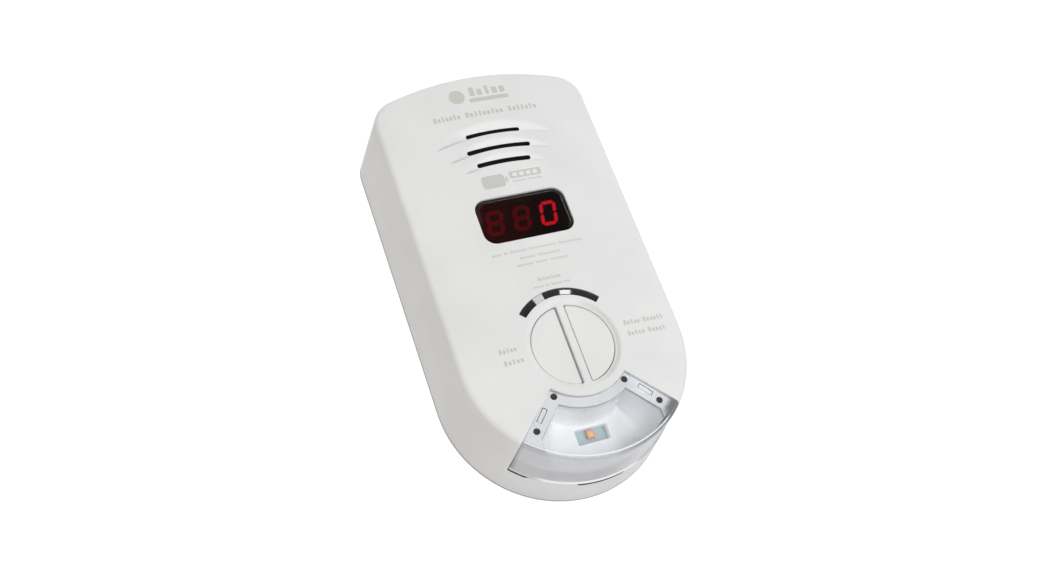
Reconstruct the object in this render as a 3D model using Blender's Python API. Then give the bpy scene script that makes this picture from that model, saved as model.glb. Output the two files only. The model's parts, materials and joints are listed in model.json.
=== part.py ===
"""Plug-in carbon monoxide alarm with a digital display, two buttons and a night light.

Metres. The origin is the centre of the back face, +Z is up, the front faces -Y and the plug
blades point to +Y. Depths are y values, so the crown of the front face is at y = -DEPTH.
"""

import math

import bmesh
import bpy
from mathutils import Matrix, Vector

GAP = 0.0003  # between pieces that touch

# Body skin
DEPTH = 0.0392
HALF_WIDTH = 0.042  # of the front outline, which is also the radius of its round lower end
FLARE = 0.00264  # growth of the outline from front to back
CROWN = 0.00306  # fall of the front face from its middle to its sides
WALL = 0.0022
EDGE_ROUND = 0.0018
BUTTON_Z = -0.0371  # centre of the button pair and of every concentric feature
LOWER_ARC_Z = BUTTON_Z - 0.0002
TOP_ARC_RADIUS = 0.139
TOP_Z = 0.0793
CORNER_RADIUS = 0.0105
SEAM_Y = -0.002
REAR_PLATE_Y = SEAM_Y + GAP / 2
TONGUE_DEPTH = 0.0032
TONGUE_WALL = 0.0015

# Grille: radius of each slot's middle line and the angle it reaches to each side
SLOTS = ((0.09055, 6.3), (0.0836, 8.1), (0.07735, 7.3))
SLOT_WIDTH = 0.0014

# Display
WINDOW_HALF_WIDTH = 0.0174
WINDOW_HALF_HEIGHT = 0.0092
WINDOW_CORNER = 0.0043
WINDOW_Z = 0.0158
WINDOW_FRONT_Y = -0.0384
WINDOW_BACK_Y = -0.0364

# Status lens: a ring sector above the buttons
STATUS_INNER = 0.01883
STATUS_OUTER = 0.0213
STATUS_ANGLE = 45.4
STATUS_FRONT_Y = -0.0388
STATUS_BACK_Y = -0.0365

# Buttons
DISH_RADIUS = 0.0168
DISH_DEPTH = 0.001
WELL_RADIUS = 0.01525
BUTTON_RADIUS = 0.01495
BUTTON_CORNER = 0.0012
BAR_HALF_WIDTH = 0.00155
BUTTON_FRONT_Y = -0.0379
BUTTON_FLANGE_Y = -0.0362
BUTTON_BACK_Y = -0.035
FLANGE_RADIUS = 0.0162
BUTTON_BOSS_RADIUS = 0.0026
SWITCH_X = 0.0075
SWITCH_SIZE = 0.006
SWITCH_FRONT_Y = -0.0315
PLUNGER_FRONT_Y = -0.0332
PLUNGER_BACK_Y = -0.0296
PLUNGER_RADIUS = 0.00175
SWITCH_BORE_Y = -0.0285

# Night light: a clear ring sector that wraps over the lower edge
LENS_INNER = 0.0199
LENS_ANGLE = 44.6
LENS_WALL = 0.0016
LENS_END_Y = -0.016
LENS_REACH = 0.06  # any radius beyond the body
TRAY_INNER = 0.0189
TRAY_ANGLE = 43.6
TRAY_INSET = 0.003
TRAY_BACK_Y = -0.0216
BASIN_FLOOR_Y = -0.0234
BASIN_INNER = 0.0235
BASIN_ANGLE = 32.5
BASIN_SIDE_X = 0.0225
BASIN_SIDE_DROP = 0.0302
BASIN_TAPER = 0.002
LED_Z = BUTTON_Z - 0.0288
LED_WINDOW_HALF = (0.00615, 0.0022)
PIN_PLACES = ((0.0133, -0.01685), (0.02305, -0.0271))  # from the button centre
PIN_RADIUS = 0.00115

# Boards
MAIN_BOARD_FRONT_Y = -0.028
MAIN_BOARD_BACK_Y = -0.0264
MAIN_BOARD_HALF_WIDTH = 0.029
MAIN_BOARD_Z = (-0.049, 0.070)
POWER_BOARD_FRONT_Y = -0.0096
POWER_BOARD_BACK_Y = -0.008
POWER_BOARD_Z = (-0.002, 0.046)
POWER_BOARD_HALF_WIDTH = 0.027
BOARD_SCREWS = ((-0.025, 0.062), (0.025, 0.062), (-0.025, -0.044), (0.025, -0.044))
POST_RADIUS = 0.00275

# Case screws, driven from the back
CASE_SCREWS = ((-0.034, 0.060), (0.034, 0.060), (-0.034, -0.030), (0.034, -0.030))
CASE_BOSS_RADIUS = 0.0035
CASE_BOSS_END_Y = -0.0063
REAR_BOSS_RADIUS = 0.0045
REAR_BOSS_END_Y = -0.006
COUNTERBORE_RADIUS = 0.0032
COUNTERBORE_Y = -0.0036

# Plug: two flat blades on 12.7 mm centres
BLADE_Z = 0.022
BLADE_X = 0.00635
BLADE_THICK = 0.00152
BLADE_WIDE = 0.00635
BLADE_TIP_Y = 0.0175
BLADE_ROOT_Y = -0.0074
BLADE_HOLE_Y = 0.0117
BLADE_HOLE_RADIUS = 0.0016

# Battery and its disconnect switch
CELL_RADIUS = 0.0085
CELL_HALF_LENGTH = 0.01725
CELL_Y = -0.014
CELL_Z = -0.036
SWITCH_ROTOR_Z = -0.012
ROTOR_RADIUS = 0.006

# Sounder and gas sensor
SOUNDER_Z = 0.0469
SOUNDER_RADIUS = 0.016
SENSOR_Z = 0.058
SENSOR_RADIUS = 0.008

ROUND_STEPS = 32  # sides of a large cylinder
SMALL_STEPS = 16  # sides of a screw or a pin


# --- Scene, materials and primitives -------------------------------------------------------


def clear_scene():
    for obj in list(bpy.data.objects):
        bpy.data.objects.remove(obj)


def new_collection(name):
    group = bpy.data.collections.new(name)
    bpy.context.scene.collection.children.link(group)
    return group


clear_scene()
PARTS = new_collection("carbon_monoxide_alarm")
CUTTERS = new_collection("cutters")


def make_material(name, colour, roughness=0.5, metallic=0.0, transmission=0.0):
    material = bpy.data.materials.new(name)
    material.use_nodes = True
    shader = material.node_tree.nodes["Principled BSDF"]
    shader.inputs["Base Color"].default_value = (*colour, 1.0)
    shader.inputs["Roughness"].default_value = roughness
    shader.inputs["Metallic"].default_value = metallic
    shader.inputs["Transmission Weight"].default_value = transmission
    return material


def place(name, mesh, material=None):
    """Links a mesh as a sub-part, or as a cutter when it has no material."""
    obj = bpy.data.objects.new(name, mesh)
    if material is None:
        CUTTERS.objects.link(obj)
        obj.hide_render = True
        obj.display_type = "WIRE"
    else:
        PARTS.objects.link(obj)
        mesh.materials.append(material)
        mesh.shade_smooth()
        mesh.set_sharp_from_angle(angle=math.radians(30))
    return obj


def block(name, low, high, material=None):
    """A box between two corners."""
    low, high = Vector(low), Vector(high)
    size = high - low
    shape = bmesh.new()
    bmesh.ops.create_cube(shape, size=1.0, matrix=Matrix.Diagonal((*size, 1.0)))
    mesh = bpy.data.meshes.new(name)
    shape.to_mesh(mesh)
    shape.free()
    obj = place(name, mesh, material)
    obj.location = (low + high) / 2
    return obj


def rod(name, x, z, radius, y0, y1, material=None, steps=SMALL_STEPS, end_radius=None):
    """A cylinder, or a cone frustum, along Y from depth y0 to depth y1."""
    shape = bmesh.new()
    bmesh.ops.create_cone(
        shape,
        cap_ends=True,
        segments=steps,
        radius1=radius,
        radius2=radius if end_radius is None else end_radius,
        depth=y1 - y0,
    )
    mesh = bpy.data.meshes.new(name)
    shape.to_mesh(mesh)
    shape.free()
    obj = place(name, mesh, material)
    obj.rotation_euler.x = -math.pi / 2
    obj.location = (x, (y0 + y1) / 2, z)
    return obj


def mesh_from_curve(obj):
    """A welded mesh of a curve object, which is then removed, and its place."""
    bpy.context.scene.collection.objects.link(obj)
    bpy.context.view_layer.update()
    seen = obj.evaluated_get(bpy.context.evaluated_depsgraph_get())
    mesh = bpy.data.meshes.new_from_object(seen)
    shape = bmesh.new()
    shape.from_mesh(mesh)
    bmesh.ops.remove_doubles(shape, verts=shape.verts, dist=1e-7)
    shape.to_mesh(mesh)
    shape.free()
    matrix = obj.matrix_world.copy()
    bpy.data.objects.remove(obj)
    mesh.materials.clear()
    return mesh, matrix


def plate(name, outlines, y0, y1, material=None):
    """A flat piece between two depths. outlines are (x, z) loops; inner loops are holes."""
    curve = bpy.data.curves.new(name, "CURVE")
    curve.dimensions = "2D"
    curve.fill_mode = "BOTH"
    curve.extrude = (y1 - y0) / 2
    for outline in outlines:
        spline = curve.splines.new("POLY")
        spline.points.add(len(outline) - 1)
        for point, (x, z) in zip(spline.points, outline):
            point.co = (x, z, 0.0, 1.0)
        spline.use_cyclic_u = True
    holder = bpy.data.objects.new(name + "_outline", curve)
    holder.rotation_euler.x = math.pi / 2
    holder.location.y = (y0 + y1) / 2
    mesh, matrix = mesh_from_curve(holder)
    obj = place(name, mesh, material)
    obj.matrix_world = matrix
    return obj


def combine(obj, tool, operation):
    modifier = obj.modifiers.new(tool.name, "BOOLEAN")
    modifier.object = tool
    modifier.operation = operation


def cut(obj, *tools):
    for tool in tools:
        combine(obj, tool, "DIFFERENCE")


def join(obj, *tools):
    for tool in tools:
        combine(obj, tool, "UNION")


def hang_on_axis(name, location, *pieces):
    """Parents moving pieces to an empty on their joint's axis, leaving them in place."""
    axis = bpy.data.objects.new(name, None)
    PARTS.objects.link(axis)
    axis.location = location
    for piece in pieces:
        piece.parent = axis
        piece.matrix_parent_inverse = Matrix.Translation(location).inverted()


# --- Outlines ------------------------------------------------------------------------------


def arc(centre, radius, start, end, steps):
    """Points (x, z) on an arc, angles in degrees from +X towards +Z."""
    points = []
    for i in range(steps + 1):
        angle = math.radians(start + (end - start) * i / steps)
        x = centre[0] + radius * math.cos(angle)
        points.append((x, centre[1] + radius * math.sin(angle)))
    return points


def ring_sector(inner, outer, half_angle, middle=90.0, steps=16):
    """A ring sector about the button centre. middle is 90 above it and -90 below it."""
    centre = (0.0, BUTTON_Z)
    low, high = middle - half_angle, middle + half_angle
    return arc(centre, outer, low, high, steps) + arc(centre, inner, high, low, steps)


def rounded_rectangle(half_width, half_height, corner, centre_z=0.0):
    x, z = half_width - corner, half_height - corner
    outline = []
    for sx, sz, start in ((1, 1, 0), (-1, 1, 90), (-1, -1, 180), (1, -1, 270)):
        outline += arc((sx * x, centre_z + sz * z), corner, start, start + 90, 6)
    return outline


def slot_outline(radius, half_angle):
    """An arc slot with round ends, concentric with the buttons."""
    outline = ring_sector(radius - SLOT_WIDTH / 2, radius + SLOT_WIDTH / 2, half_angle, steps=12)
    side = len(outline) // 2
    left = 90.0 + half_angle
    right = 90.0 - half_angle
    ends = []
    for angle in (left, right):
        turn = math.radians(angle)
        ends.append((radius * math.cos(turn), BUTTON_Z + radius * math.sin(turn)))
    left_cap = arc(ends[0], SLOT_WIDTH / 2, left, left + 180.0, 6)[1:-1]
    right_cap = arc(ends[1], SLOT_WIDTH / 2, right - 180.0, right, 6)[1:-1]
    return outline[:side] + left_cap + outline[side:] + right_cap


def half_disc(radius, edge_x, corner):
    """The half of a disc beyond a straight edge, about the button centre, with round corners."""
    corner_x = edge_x + corner
    reach = radius - corner
    corner_z = math.sqrt(reach**2 - corner_x**2)
    lean = math.degrees(math.atan2(corner_z, corner_x))
    outline = arc((0.0, BUTTON_Z), radius, -lean, lean, 24)
    outline += arc((corner_x, BUTTON_Z + corner_z), corner, lean, 180.0, 4)[1:]
    outline += arc((corner_x, BUTTON_Z - corner_z), corner, 180.0, 360.0 - lean, 4)[:-1]
    return outline


def half_outline(offset):
    """The right half of the body's outline from its lowest to its highest point."""
    top_centre_z = TOP_Z - TOP_ARC_RADIUS
    corner_x = HALF_WIDTH - CORNER_RADIUS
    reach = TOP_ARC_RADIUS - CORNER_RADIUS
    corner_z = top_centre_z + math.sqrt(reach**2 - corner_x**2)
    turn = math.degrees(math.atan2(corner_z - top_centre_z, corner_x))
    points = arc((0.0, LOWER_ARC_Z), HALF_WIDTH + offset, -90.0, 0.0, 14)
    points += arc((corner_x, corner_z), CORNER_RADIUS + offset, 0.0, turn, 6)
    points += arc((0.0, top_centre_z), TOP_ARC_RADIUS + offset, turn, 90.0, 5)[1:]
    return points


def full_outline(offset):
    right = half_outline(offset)
    return right + [(-x, z) for x, z in reversed(right[1:-1])]


def flare(y):
    return FLARE * (y + DEPTH) / DEPTH


def crown(x):
    return CROWN * (x / HALF_WIDTH) ** 2


# --- Body solids ---------------------------------------------------------------------------


def loft_rings(shape, rings):
    """Faces between rings of vertices that run from back to front."""
    for back, front in zip(rings, rings[1:]):
        count = len(back)
        for i in range(count):
            j = (i + 1) % count
            shape.faces.new((back[i], back[j], front[j], front[i]))


def crowned_cap(shape, ring, front_y):
    """Closes the front ring with rows of faces that follow the crown across the width."""
    columns = 12
    apex = len(ring) // 2
    rows = []
    for i in range(1, apex):
        right, left = ring[i], ring[-i]
        row = [left]
        for k in range(1, columns):
            x = right.co.x * (2 * k / columns - 1)
            row.append(shape.verts.new((x, front_y + crown(x), right.co.z)))
        rows.append(row + [right])
    for k in range(columns):
        shape.faces.new((ring[0], rows[0][k + 1], rows[0][k]))
        shape.faces.new((rows[-1][k], rows[-1][k + 1], ring[apex]))
    for lower, upper in zip(rows, rows[1:]):
        for k in range(columns):
            shape.faces.new((lower[k], lower[k + 1], upper[k + 1], upper[k]))


def crowned_body(name, inset, back_y, material=None):
    """A solid that lies everywhere inset inside the body's skin and ends at back_y."""
    edge = max(EDGE_ROUND - inset, 0.0004)
    front_y = inset - DEPTH
    shape = bmesh.new()
    rings = []
    outline = full_outline(flare(back_y) - inset)
    rings.append([shape.verts.new((x, back_y, z)) for x, z in outline])
    for degrees in (0.0, 30.0, 60.0, 90.0):
        angle = math.radians(degrees)
        y = front_y + edge * (1 - math.sin(angle))
        outline = full_outline(flare(y) - inset - edge * (1 - math.cos(angle)))
        rings.append([shape.verts.new((x, y + crown(x), z)) for x, z in outline])
    loft_rings(shape, rings)
    shape.faces.new(reversed(rings[0]))
    crowned_cap(shape, rings[-1], front_y)
    mesh = bpy.data.meshes.new(name)
    shape.to_mesh(mesh)
    shape.free()
    return place(name, mesh, material)


def flat_body(name, inset, y0, y1, material=None):
    """A flared solid between two depths, inset inside the body's skin."""
    shape = bmesh.new()
    rings = []
    for y in (y1, y0):
        outline = full_outline(flare(y) - inset)
        rings.append([shape.verts.new((x, y, z)) for x, z in outline])
    loft_rings(shape, rings)
    shape.faces.new(reversed(rings[0]))
    shape.faces.new(rings[-1])
    mesh = bpy.data.meshes.new(name)
    shape.to_mesh(mesh)
    shape.free()
    return place(name, mesh, material)


# --- Housing -------------------------------------------------------------------------------


def make_front_cover(material):
    cover = crowned_body("front_cover", 0.0, SEAM_Y - GAP / 2, material)
    cut(cover, crowned_body("cover_hollow", WALL, 0.004))
    inside_y = WALL - DEPTH - 0.001
    for i, (x, z) in enumerate(CASE_SCREWS):
        join(cover, rod(f"case_boss_{i}", x, z, CASE_BOSS_RADIUS, inside_y + crown(x), CASE_BOSS_END_Y))
        cut(cover, rod(f"case_bore_{i}", x, z, 0.0017, -0.018, 0.0))
    for i, (x, z) in enumerate(BOARD_SCREWS):
        post_end = MAIN_BOARD_FRONT_Y - GAP
        join(cover, rod(f"board_post_{i}", x, z, POST_RADIUS, inside_y + crown(x), post_end))
        cut(cover, rod(f"board_bore_{i}", x, z, 0.0014, -0.035, 0.0))
    front = -DEPTH - 0.002
    through = inside_y + 0.004
    cut(cover, rod("button_dish", 0, BUTTON_Z, DISH_RADIUS, front, DISH_DEPTH - DEPTH, steps=48))
    for side, name in ((-1, "left"), (1, "right")):
        half = half_disc(WELL_RADIUS, BAR_HALF_WIDTH, BUTTON_CORNER)
        cut(cover, plate(f"{name}_well", [[(side * x, z) for x, z in half]], front, through))
    window = rounded_rectangle(WINDOW_HALF_WIDTH, WINDOW_HALF_HEIGHT, WINDOW_CORNER, WINDOW_Z)
    cut(cover, plate("window_opening", [window], front, through))
    status = ring_sector(STATUS_INNER, STATUS_OUTER, STATUS_ANGLE)
    cut(cover, plate("status_opening", [status], front, through))
    for i, (radius, angle) in enumerate(SLOTS):
        cut(cover, plate(f"grille_slot_{i}", [slot_outline(radius, angle)], front, through))
    lens = ring_sector(LENS_INNER - GAP, LENS_REACH, LENS_ANGLE + 0.5, middle=-90.0)
    cut(cover, plate("lens_opening", [lens], front, LENS_END_Y + GAP))
    return cover


def make_rear_cover(material):
    cover = flat_body("rear_cover", 0.0, REAR_PLATE_Y, 0.0, material)
    overlap = 0.0005
    tongue_inset = WALL + GAP
    tongue = flat_body("tongue", tongue_inset, REAR_PLATE_Y - TONGUE_DEPTH, REAR_PLATE_Y + overlap)
    cut(tongue, flat_body("tongue_hollow", tongue_inset + TONGUE_WALL, -0.008, REAR_PLATE_Y))
    join(cover, tongue)
    for i, (x, z) in enumerate(CASE_SCREWS):
        join(cover, rod(f"rear_boss_{i}", x, z, REAR_BOSS_RADIUS, REAR_BOSS_END_Y, REAR_PLATE_Y + overlap))
        cut(cover, rod(f"rear_bore_{i}", x, z, 0.0017, -0.008, 0.002))
        cut(cover, rod(f"counterbore_{i}", x, z, COUNTERBORE_RADIUS, COUNTERBORE_Y, 0.002))
    base_low = (-0.012, -0.0045, BLADE_Z - 0.005)
    base_high = (0.012, REAR_PLATE_Y + overlap, BLADE_Z + 0.005)
    join(cover, block("plug_base", base_low, base_high))
    for side in (-1, 1):
        half_x, half_z = BLADE_THICK / 2 + 0.0002, BLADE_WIDE / 2 + 0.0002
        low = (side * BLADE_X - half_x, -0.006, BLADE_Z - half_z)
        high = (side * BLADE_X + half_x, 0.002, BLADE_Z + half_z)
        cut(cover, block(f"blade_slot_{side}", low, high))
    cut(cover, rod("rotor_hole", 0, SWITCH_ROTOR_Z, ROTOR_RADIUS + GAP, -0.004, 0.002, steps=ROUND_STEPS))
    cut(cover, block("label_recess", (-0.026, -0.0007, -0.062), (0.026, 0.002, -0.022)))
    for i in range(5):
        z = 0.050 + 0.004 * i
        cut(cover, block(f"vent_{i}", (-0.010, -0.004, z - 0.0008), (0.010, 0.002, z + 0.0008)))
    return cover


def make_rating_label(material):
    block("rating_label", (-0.0257, -0.0004, -0.0617), (0.0257, -0.0001, -0.0223), material)


def make_case_screws(material):
    for i, (x, z) in enumerate(CASE_SCREWS):
        head_back = COUNTERBORE_Y + 0.0023
        make_screw(f"case_screw_{i + 1}", x, z, COUNTERBORE_Y + GAP, head_back, -0.016, 0.0028, material)


def make_board_screws(material):
    for i, (x, z) in enumerate(BOARD_SCREWS):
        head_front = MAIN_BOARD_BACK_Y + GAP
        make_screw(f"board_screw_{i + 1}", x, z, head_front, head_front + 0.0016, -0.0345, 0.0022, material)


def make_screw(name, x, z, head_front, head_back, tip_y, head_radius, material):
    """A pan-head screw whose shank runs towards the front, with a cross recess."""
    shank_radius = head_radius * 0.45
    screw = rod(name, x, z, shank_radius * 0.5, tip_y, head_front + 0.0002, material, 12, shank_radius)
    head_name = name + "_head"
    join(screw, rod(head_name, x, z, head_radius, head_front, head_back, end_radius=head_radius * 0.8))
    long, short = head_radius * 0.55, head_radius * 0.14
    for i, (dx, dz) in enumerate(((long, short), (short, long))):
        low = (x - dx, head_back - 0.0008, z - dz)
        cut(screw, block(f"{name}_recess_{i}", low, (x + dx, head_back + 0.001, z + dz)))
    return screw


# --- Display and indicators ----------------------------------------------------------------


def make_display(window_material, module_material):
    half_width, half_height = WINDOW_HALF_WIDTH - GAP, WINDOW_HALF_HEIGHT - GAP
    outline = rounded_rectangle(half_width, half_height, WINDOW_CORNER - GAP, WINDOW_Z)
    plate("display_window", [outline], WINDOW_FRONT_Y, WINDOW_BACK_Y, window_material)
    low = (-0.0155, WINDOW_BACK_Y + GAP, WINDOW_Z - 0.0071)
    block("display_module", low, (0.0155, MAIN_BOARD_FRONT_Y - GAP, WINDOW_Z + 0.0071), module_material)


def make_status_lens(material):
    margin = math.degrees(GAP / STATUS_INNER)
    outline = ring_sector(STATUS_INNER + GAP, STATUS_OUTER - GAP, STATUS_ANGLE - margin)
    plate("status_lens", [outline], STATUS_FRONT_Y, STATUS_BACK_Y, material)


def make_indicators(led_material, sensor_material):
    middle_radius = (STATUS_INNER + STATUS_OUTER) / 2
    back_y = MAIN_BOARD_FRONT_Y - GAP
    for name, degrees in (("operate_led", -19.0), ("alarm_led", 20.0)):
        turn = math.radians(degrees)
        x, z = middle_radius * math.sin(turn), BUTTON_Z + middle_radius * math.cos(turn)
        body = rod(name, x, z, 0.0009, back_y - 0.0026, back_y - 0.001, led_material, end_radius=0.0012)
        low, high = (x - 0.0016, back_y - 0.0012, z - 0.0013), (x + 0.0016, back_y, z + 0.0013)
        join(body, block(name + "_base", low, high))
    z = BUTTON_Z + middle_radius
    rod("ambient_light_sensor", 0, z, 0.0015, back_y - 0.0024, back_y, sensor_material)


# --- Buttons -------------------------------------------------------------------------------


def make_button(name, side, material):
    """A half-round cap with a wider flange behind the cover and a boss over its switch."""
    edge_x = BAR_HALF_WIDTH + GAP
    cap = [(side * x, z) for x, z in half_disc(BUTTON_RADIUS, edge_x, BUTTON_CORNER)]
    button = plate(f"{name}_button", [cap], BUTTON_FRONT_Y, BUTTON_FLANGE_Y + 0.0002, material)
    flange = [(side * x, z) for x, z in half_disc(FLANGE_RADIUS, 0.0004, BUTTON_CORNER)]
    join(button, plate(f"{name}_flange", [flange], BUTTON_FLANGE_Y, BUTTON_BACK_Y))
    x, boss_end = side * SWITCH_X, PLUNGER_FRONT_Y - GAP
    join(button, rod(f"{name}_boss", x, BUTTON_Z, BUTTON_BOSS_RADIUS, BUTTON_BACK_Y - 0.0005, boss_end))
    hang_on_axis(f"{name}_button_axis", (x, BUTTON_FRONT_Y, BUTTON_Z), button)


def make_switch(name, side, body_material, plunger_material):
    x, half = side * SWITCH_X, SWITCH_SIZE / 2
    low = (x - half, SWITCH_FRONT_Y, BUTTON_Z - half)
    body = block(f"{name}_switch_body", low, (x + half, MAIN_BOARD_FRONT_Y - GAP, BUTTON_Z + half), body_material)
    cut(body, rod(f"{name}_switch_bore", x, BUTTON_Z, PLUNGER_RADIUS + GAP, -0.034, SWITCH_BORE_Y))
    plunger = rod(
        f"{name}_switch_plunger", x, BUTTON_Z, PLUNGER_RADIUS, PLUNGER_FRONT_Y, PLUNGER_BACK_Y, plunger_material
    )
    hang_on_axis(f"{name}_plunger_axis", (x, PLUNGER_FRONT_Y, BUTTON_Z), plunger)


# --- Night light ---------------------------------------------------------------------------


def make_night_light_lens(material):
    lens = crowned_body("night_light_lens", 0.0, -0.005, material)
    cut(lens, crowned_body("lens_hollow", LENS_WALL, 0.002))
    sector = ring_sector(LENS_INNER, LENS_REACH, LENS_ANGLE, middle=-90.0)
    combine(lens, plate("lens_sector", [sector], -DEPTH - 0.002, LENS_END_Y), "INTERSECT")


def basin_outline(shrink):
    """The reflector's mouth, open towards the lower edge of the body."""
    left, right = -90.0 - BASIN_ANGLE, -90.0 + BASIN_ANGLE
    outline = arc((0.0, BUTTON_Z), BASIN_INNER + shrink, left, right, 10)
    outline = [(x * (1 - shrink / 0.02), z) for x, z in outline]
    side_x, side_z = BASIN_SIDE_X - shrink, BUTTON_Z - BASIN_SIDE_DROP
    outer_z = BUTTON_Z - LENS_REACH
    return outline + [(side_x, side_z), (side_x, outer_z), (-side_x, outer_z), (-side_x, side_z)]


def make_basin_cutter():
    """A tapered scoop: the loft between the mouth and the smaller floor outline."""
    shape = bmesh.new()
    rings = []
    for shrink, y in ((BASIN_TAPER, BASIN_FLOOR_Y), (0.0, -DEPTH)):
        rings.append([shape.verts.new((x, y, z)) for x, z in basin_outline(shrink)])
    loft_rings(shape, rings)
    shape.faces.new(reversed(rings[0]))
    shape.faces.new(rings[-1])
    bmesh.ops.recalc_face_normals(shape, faces=shape.faces)
    mesh = bpy.data.meshes.new("basin")
    shape.to_mesh(mesh)
    shape.free()
    return place("basin", mesh)


def make_light_tray(tray_material, pin_material):
    tray = crowned_body("light_tray", TRAY_INSET, TRAY_BACK_Y, tray_material)
    sector = ring_sector(TRAY_INNER, LENS_REACH, TRAY_ANGLE, middle=-90.0)
    combine(tray, plate("tray_sector", [sector], -DEPTH, 0.0), "INTERSECT")
    cut(tray, make_basin_cutter())
    half_x, half_z = LED_WINDOW_HALF
    low, high = (-half_x, -0.03, LED_Z - half_z), (half_x, -0.02, LED_Z + half_z)
    cut(tray, block("led_window", low, high))
    number = 0
    for x, drop in PIN_PLACES:
        for side in (-1, 1):
            number += 1
            px, pz, top_y = side * x, BUTTON_Z + drop, TRAY_INSET - DEPTH + crown(x)
            cut(tray, rod(f"pin_hole_{number}", px, pz, PIN_RADIUS + GAP, -0.04, top_y + 0.005))
            rod(f"tray_pin_{number}", px, pz, PIN_RADIUS, top_y - GAP, top_y + 0.0045, pin_material)


def make_night_light_board(board_material, led_material, lead_material):
    board_y = TRAY_BACK_Y + GAP
    block("night_light_board", (-0.009, board_y, LED_Z - 0.0045), (0.009, board_y + 0.001, LED_Z + 0.0045), board_material)
    led_low = (-0.0014, board_y - GAP - 0.0016, LED_Z - 0.0012)
    block("night_light_led", led_low, (0.0014, board_y - GAP, LED_Z + 0.0016), led_material)
    for name, x in (("night_light_lead_a", -0.003), ("night_light_lead_b", 0.003)):
        route = ((-0.0253, -0.047), (-0.0225, -0.0505), (-0.02, -0.054), (-0.0193, -0.058), (-0.0193, -0.062))
        make_lead(name, [(x, y, z) for y, z in route], lead_material)


def make_lead(name, route, material):
    """A thin insulated wire along a route of points."""
    curve = bpy.data.curves.new(name, "CURVE")
    curve.dimensions = "3D"
    curve.bevel_depth = 0.0005
    curve.bevel_resolution = 2
    curve.use_fill_caps = True
    spline = curve.splines.new("POLY")
    spline.points.add(len(route) - 1)
    for point, place_on_route in zip(spline.points, route):
        point.co = (*place_on_route, 1.0)
    mesh, matrix = mesh_from_curve(bpy.data.objects.new(name + "_path", curve))
    obj = place(name, mesh, material)
    obj.matrix_world = matrix


# --- Main board and what it carries --------------------------------------------------------


def make_main_board(board_material, chip_material):
    half = MAIN_BOARD_HALF_WIDTH
    low = (-half, MAIN_BOARD_FRONT_Y, MAIN_BOARD_Z[0])
    board = block("main_board", low, (half, MAIN_BOARD_BACK_Y, MAIN_BOARD_Z[1]), board_material)
    for i, (x, z) in enumerate(BOARD_SCREWS):
        cut(board, rod(f"board_hole_{i}", x, z, 0.0014, -0.03, -0.025))
    chip_y = MAIN_BOARD_FRONT_Y - GAP
    block("microcontroller", (-0.0235, chip_y - 0.0012, -0.012), (-0.0165, chip_y, -0.005), chip_material)
    header_low = (-0.005, MAIN_BOARD_BACK_Y + GAP, 0.001)
    block("board_link", header_low, (0.005, POWER_BOARD_FRONT_Y - GAP, 0.0035), chip_material)


def make_sounder(housing_material, disc_material, mesh_material):
    back_y = MAIN_BOARD_FRONT_Y - GAP
    housing = rod("sounder_housing", 0, SOUNDER_Z, SOUNDER_RADIUS, -0.0356, back_y, housing_material, ROUND_STEPS)
    cut(housing, rod("sounder_cavity", 0, SOUNDER_Z, SOUNDER_RADIUS - 0.0015, -0.04, -0.0305, steps=ROUND_STEPS))
    cut(housing, rod("sounder_port", 0, SOUNDER_Z, 0.003, -0.04, -0.0275))
    rod("piezo_disc", 0, SOUNDER_Z, 0.0135, -0.0333, -0.0329, disc_material, ROUND_STEPS)
    block("dust_mesh", (-0.0145, -0.0363, 0.036), (0.0145, -0.036, 0.0565), mesh_material)


def make_gas_sensor(can_material, cap_material):
    front_y = MAIN_BOARD_BACK_Y + GAP
    can_end = front_y + 0.013
    rod("gas_sensor_can", 0, SENSOR_Z, SENSOR_RADIUS, front_y, can_end, can_material, ROUND_STEPS)
    cap = rod("gas_sensor_cap", 0, SENSOR_Z, SENSOR_RADIUS + 0.0006, can_end + GAP, can_end + 0.0023, cap_material, ROUND_STEPS)
    cut(cap, rod("gas_port", 0, SENSOR_Z, 0.0022, can_end - 0.001, can_end + 0.005))


def x_cylinder(name, x0, x1, y, z, radius, material=None, steps=ROUND_STEPS):
    obj = rod(name, 0, z, radius, 0, x1 - x0, material, steps)
    obj.rotation_euler = (0, math.pi / 2, 0)
    obj.location = ((x0 + x1) / 2, y, z)
    return obj


def make_battery(cell_material, cradle_material, contact_material):
    nub = 0.0009
    cell = x_cylinder("lithium_cell", -CELL_HALF_LENGTH, CELL_HALF_LENGTH - nub, CELL_Y, CELL_Z, CELL_RADIUS, cell_material)
    join(cell, x_cylinder("cell_nub", 0.01, CELL_HALF_LENGTH, CELL_Y, CELL_Z, 0.0033))
    cradle_low = (-0.0215, CELL_Y + 0.001, CELL_Z - 0.010)
    cradle = block("cell_cradle", cradle_low, (0.0215, REAR_PLATE_Y - GAP, CELL_Z + 0.010), cradle_material)
    cut(cradle, x_cylinder("cell_space", -0.0194, 0.0194, CELL_Y, CELL_Z, CELL_RADIUS + GAP))
    for name, side in (("negative", -1), ("positive", 1)):
        ends = sorted((side * 0.01755, side * 0.01805))
        low = (ends[0], MAIN_BOARD_BACK_Y + GAP, CELL_Z - 0.003)
        block(f"cell_contact_{name}", low, (ends[1], CELL_Y + 0.006, CELL_Z + 0.003), contact_material)


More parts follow.
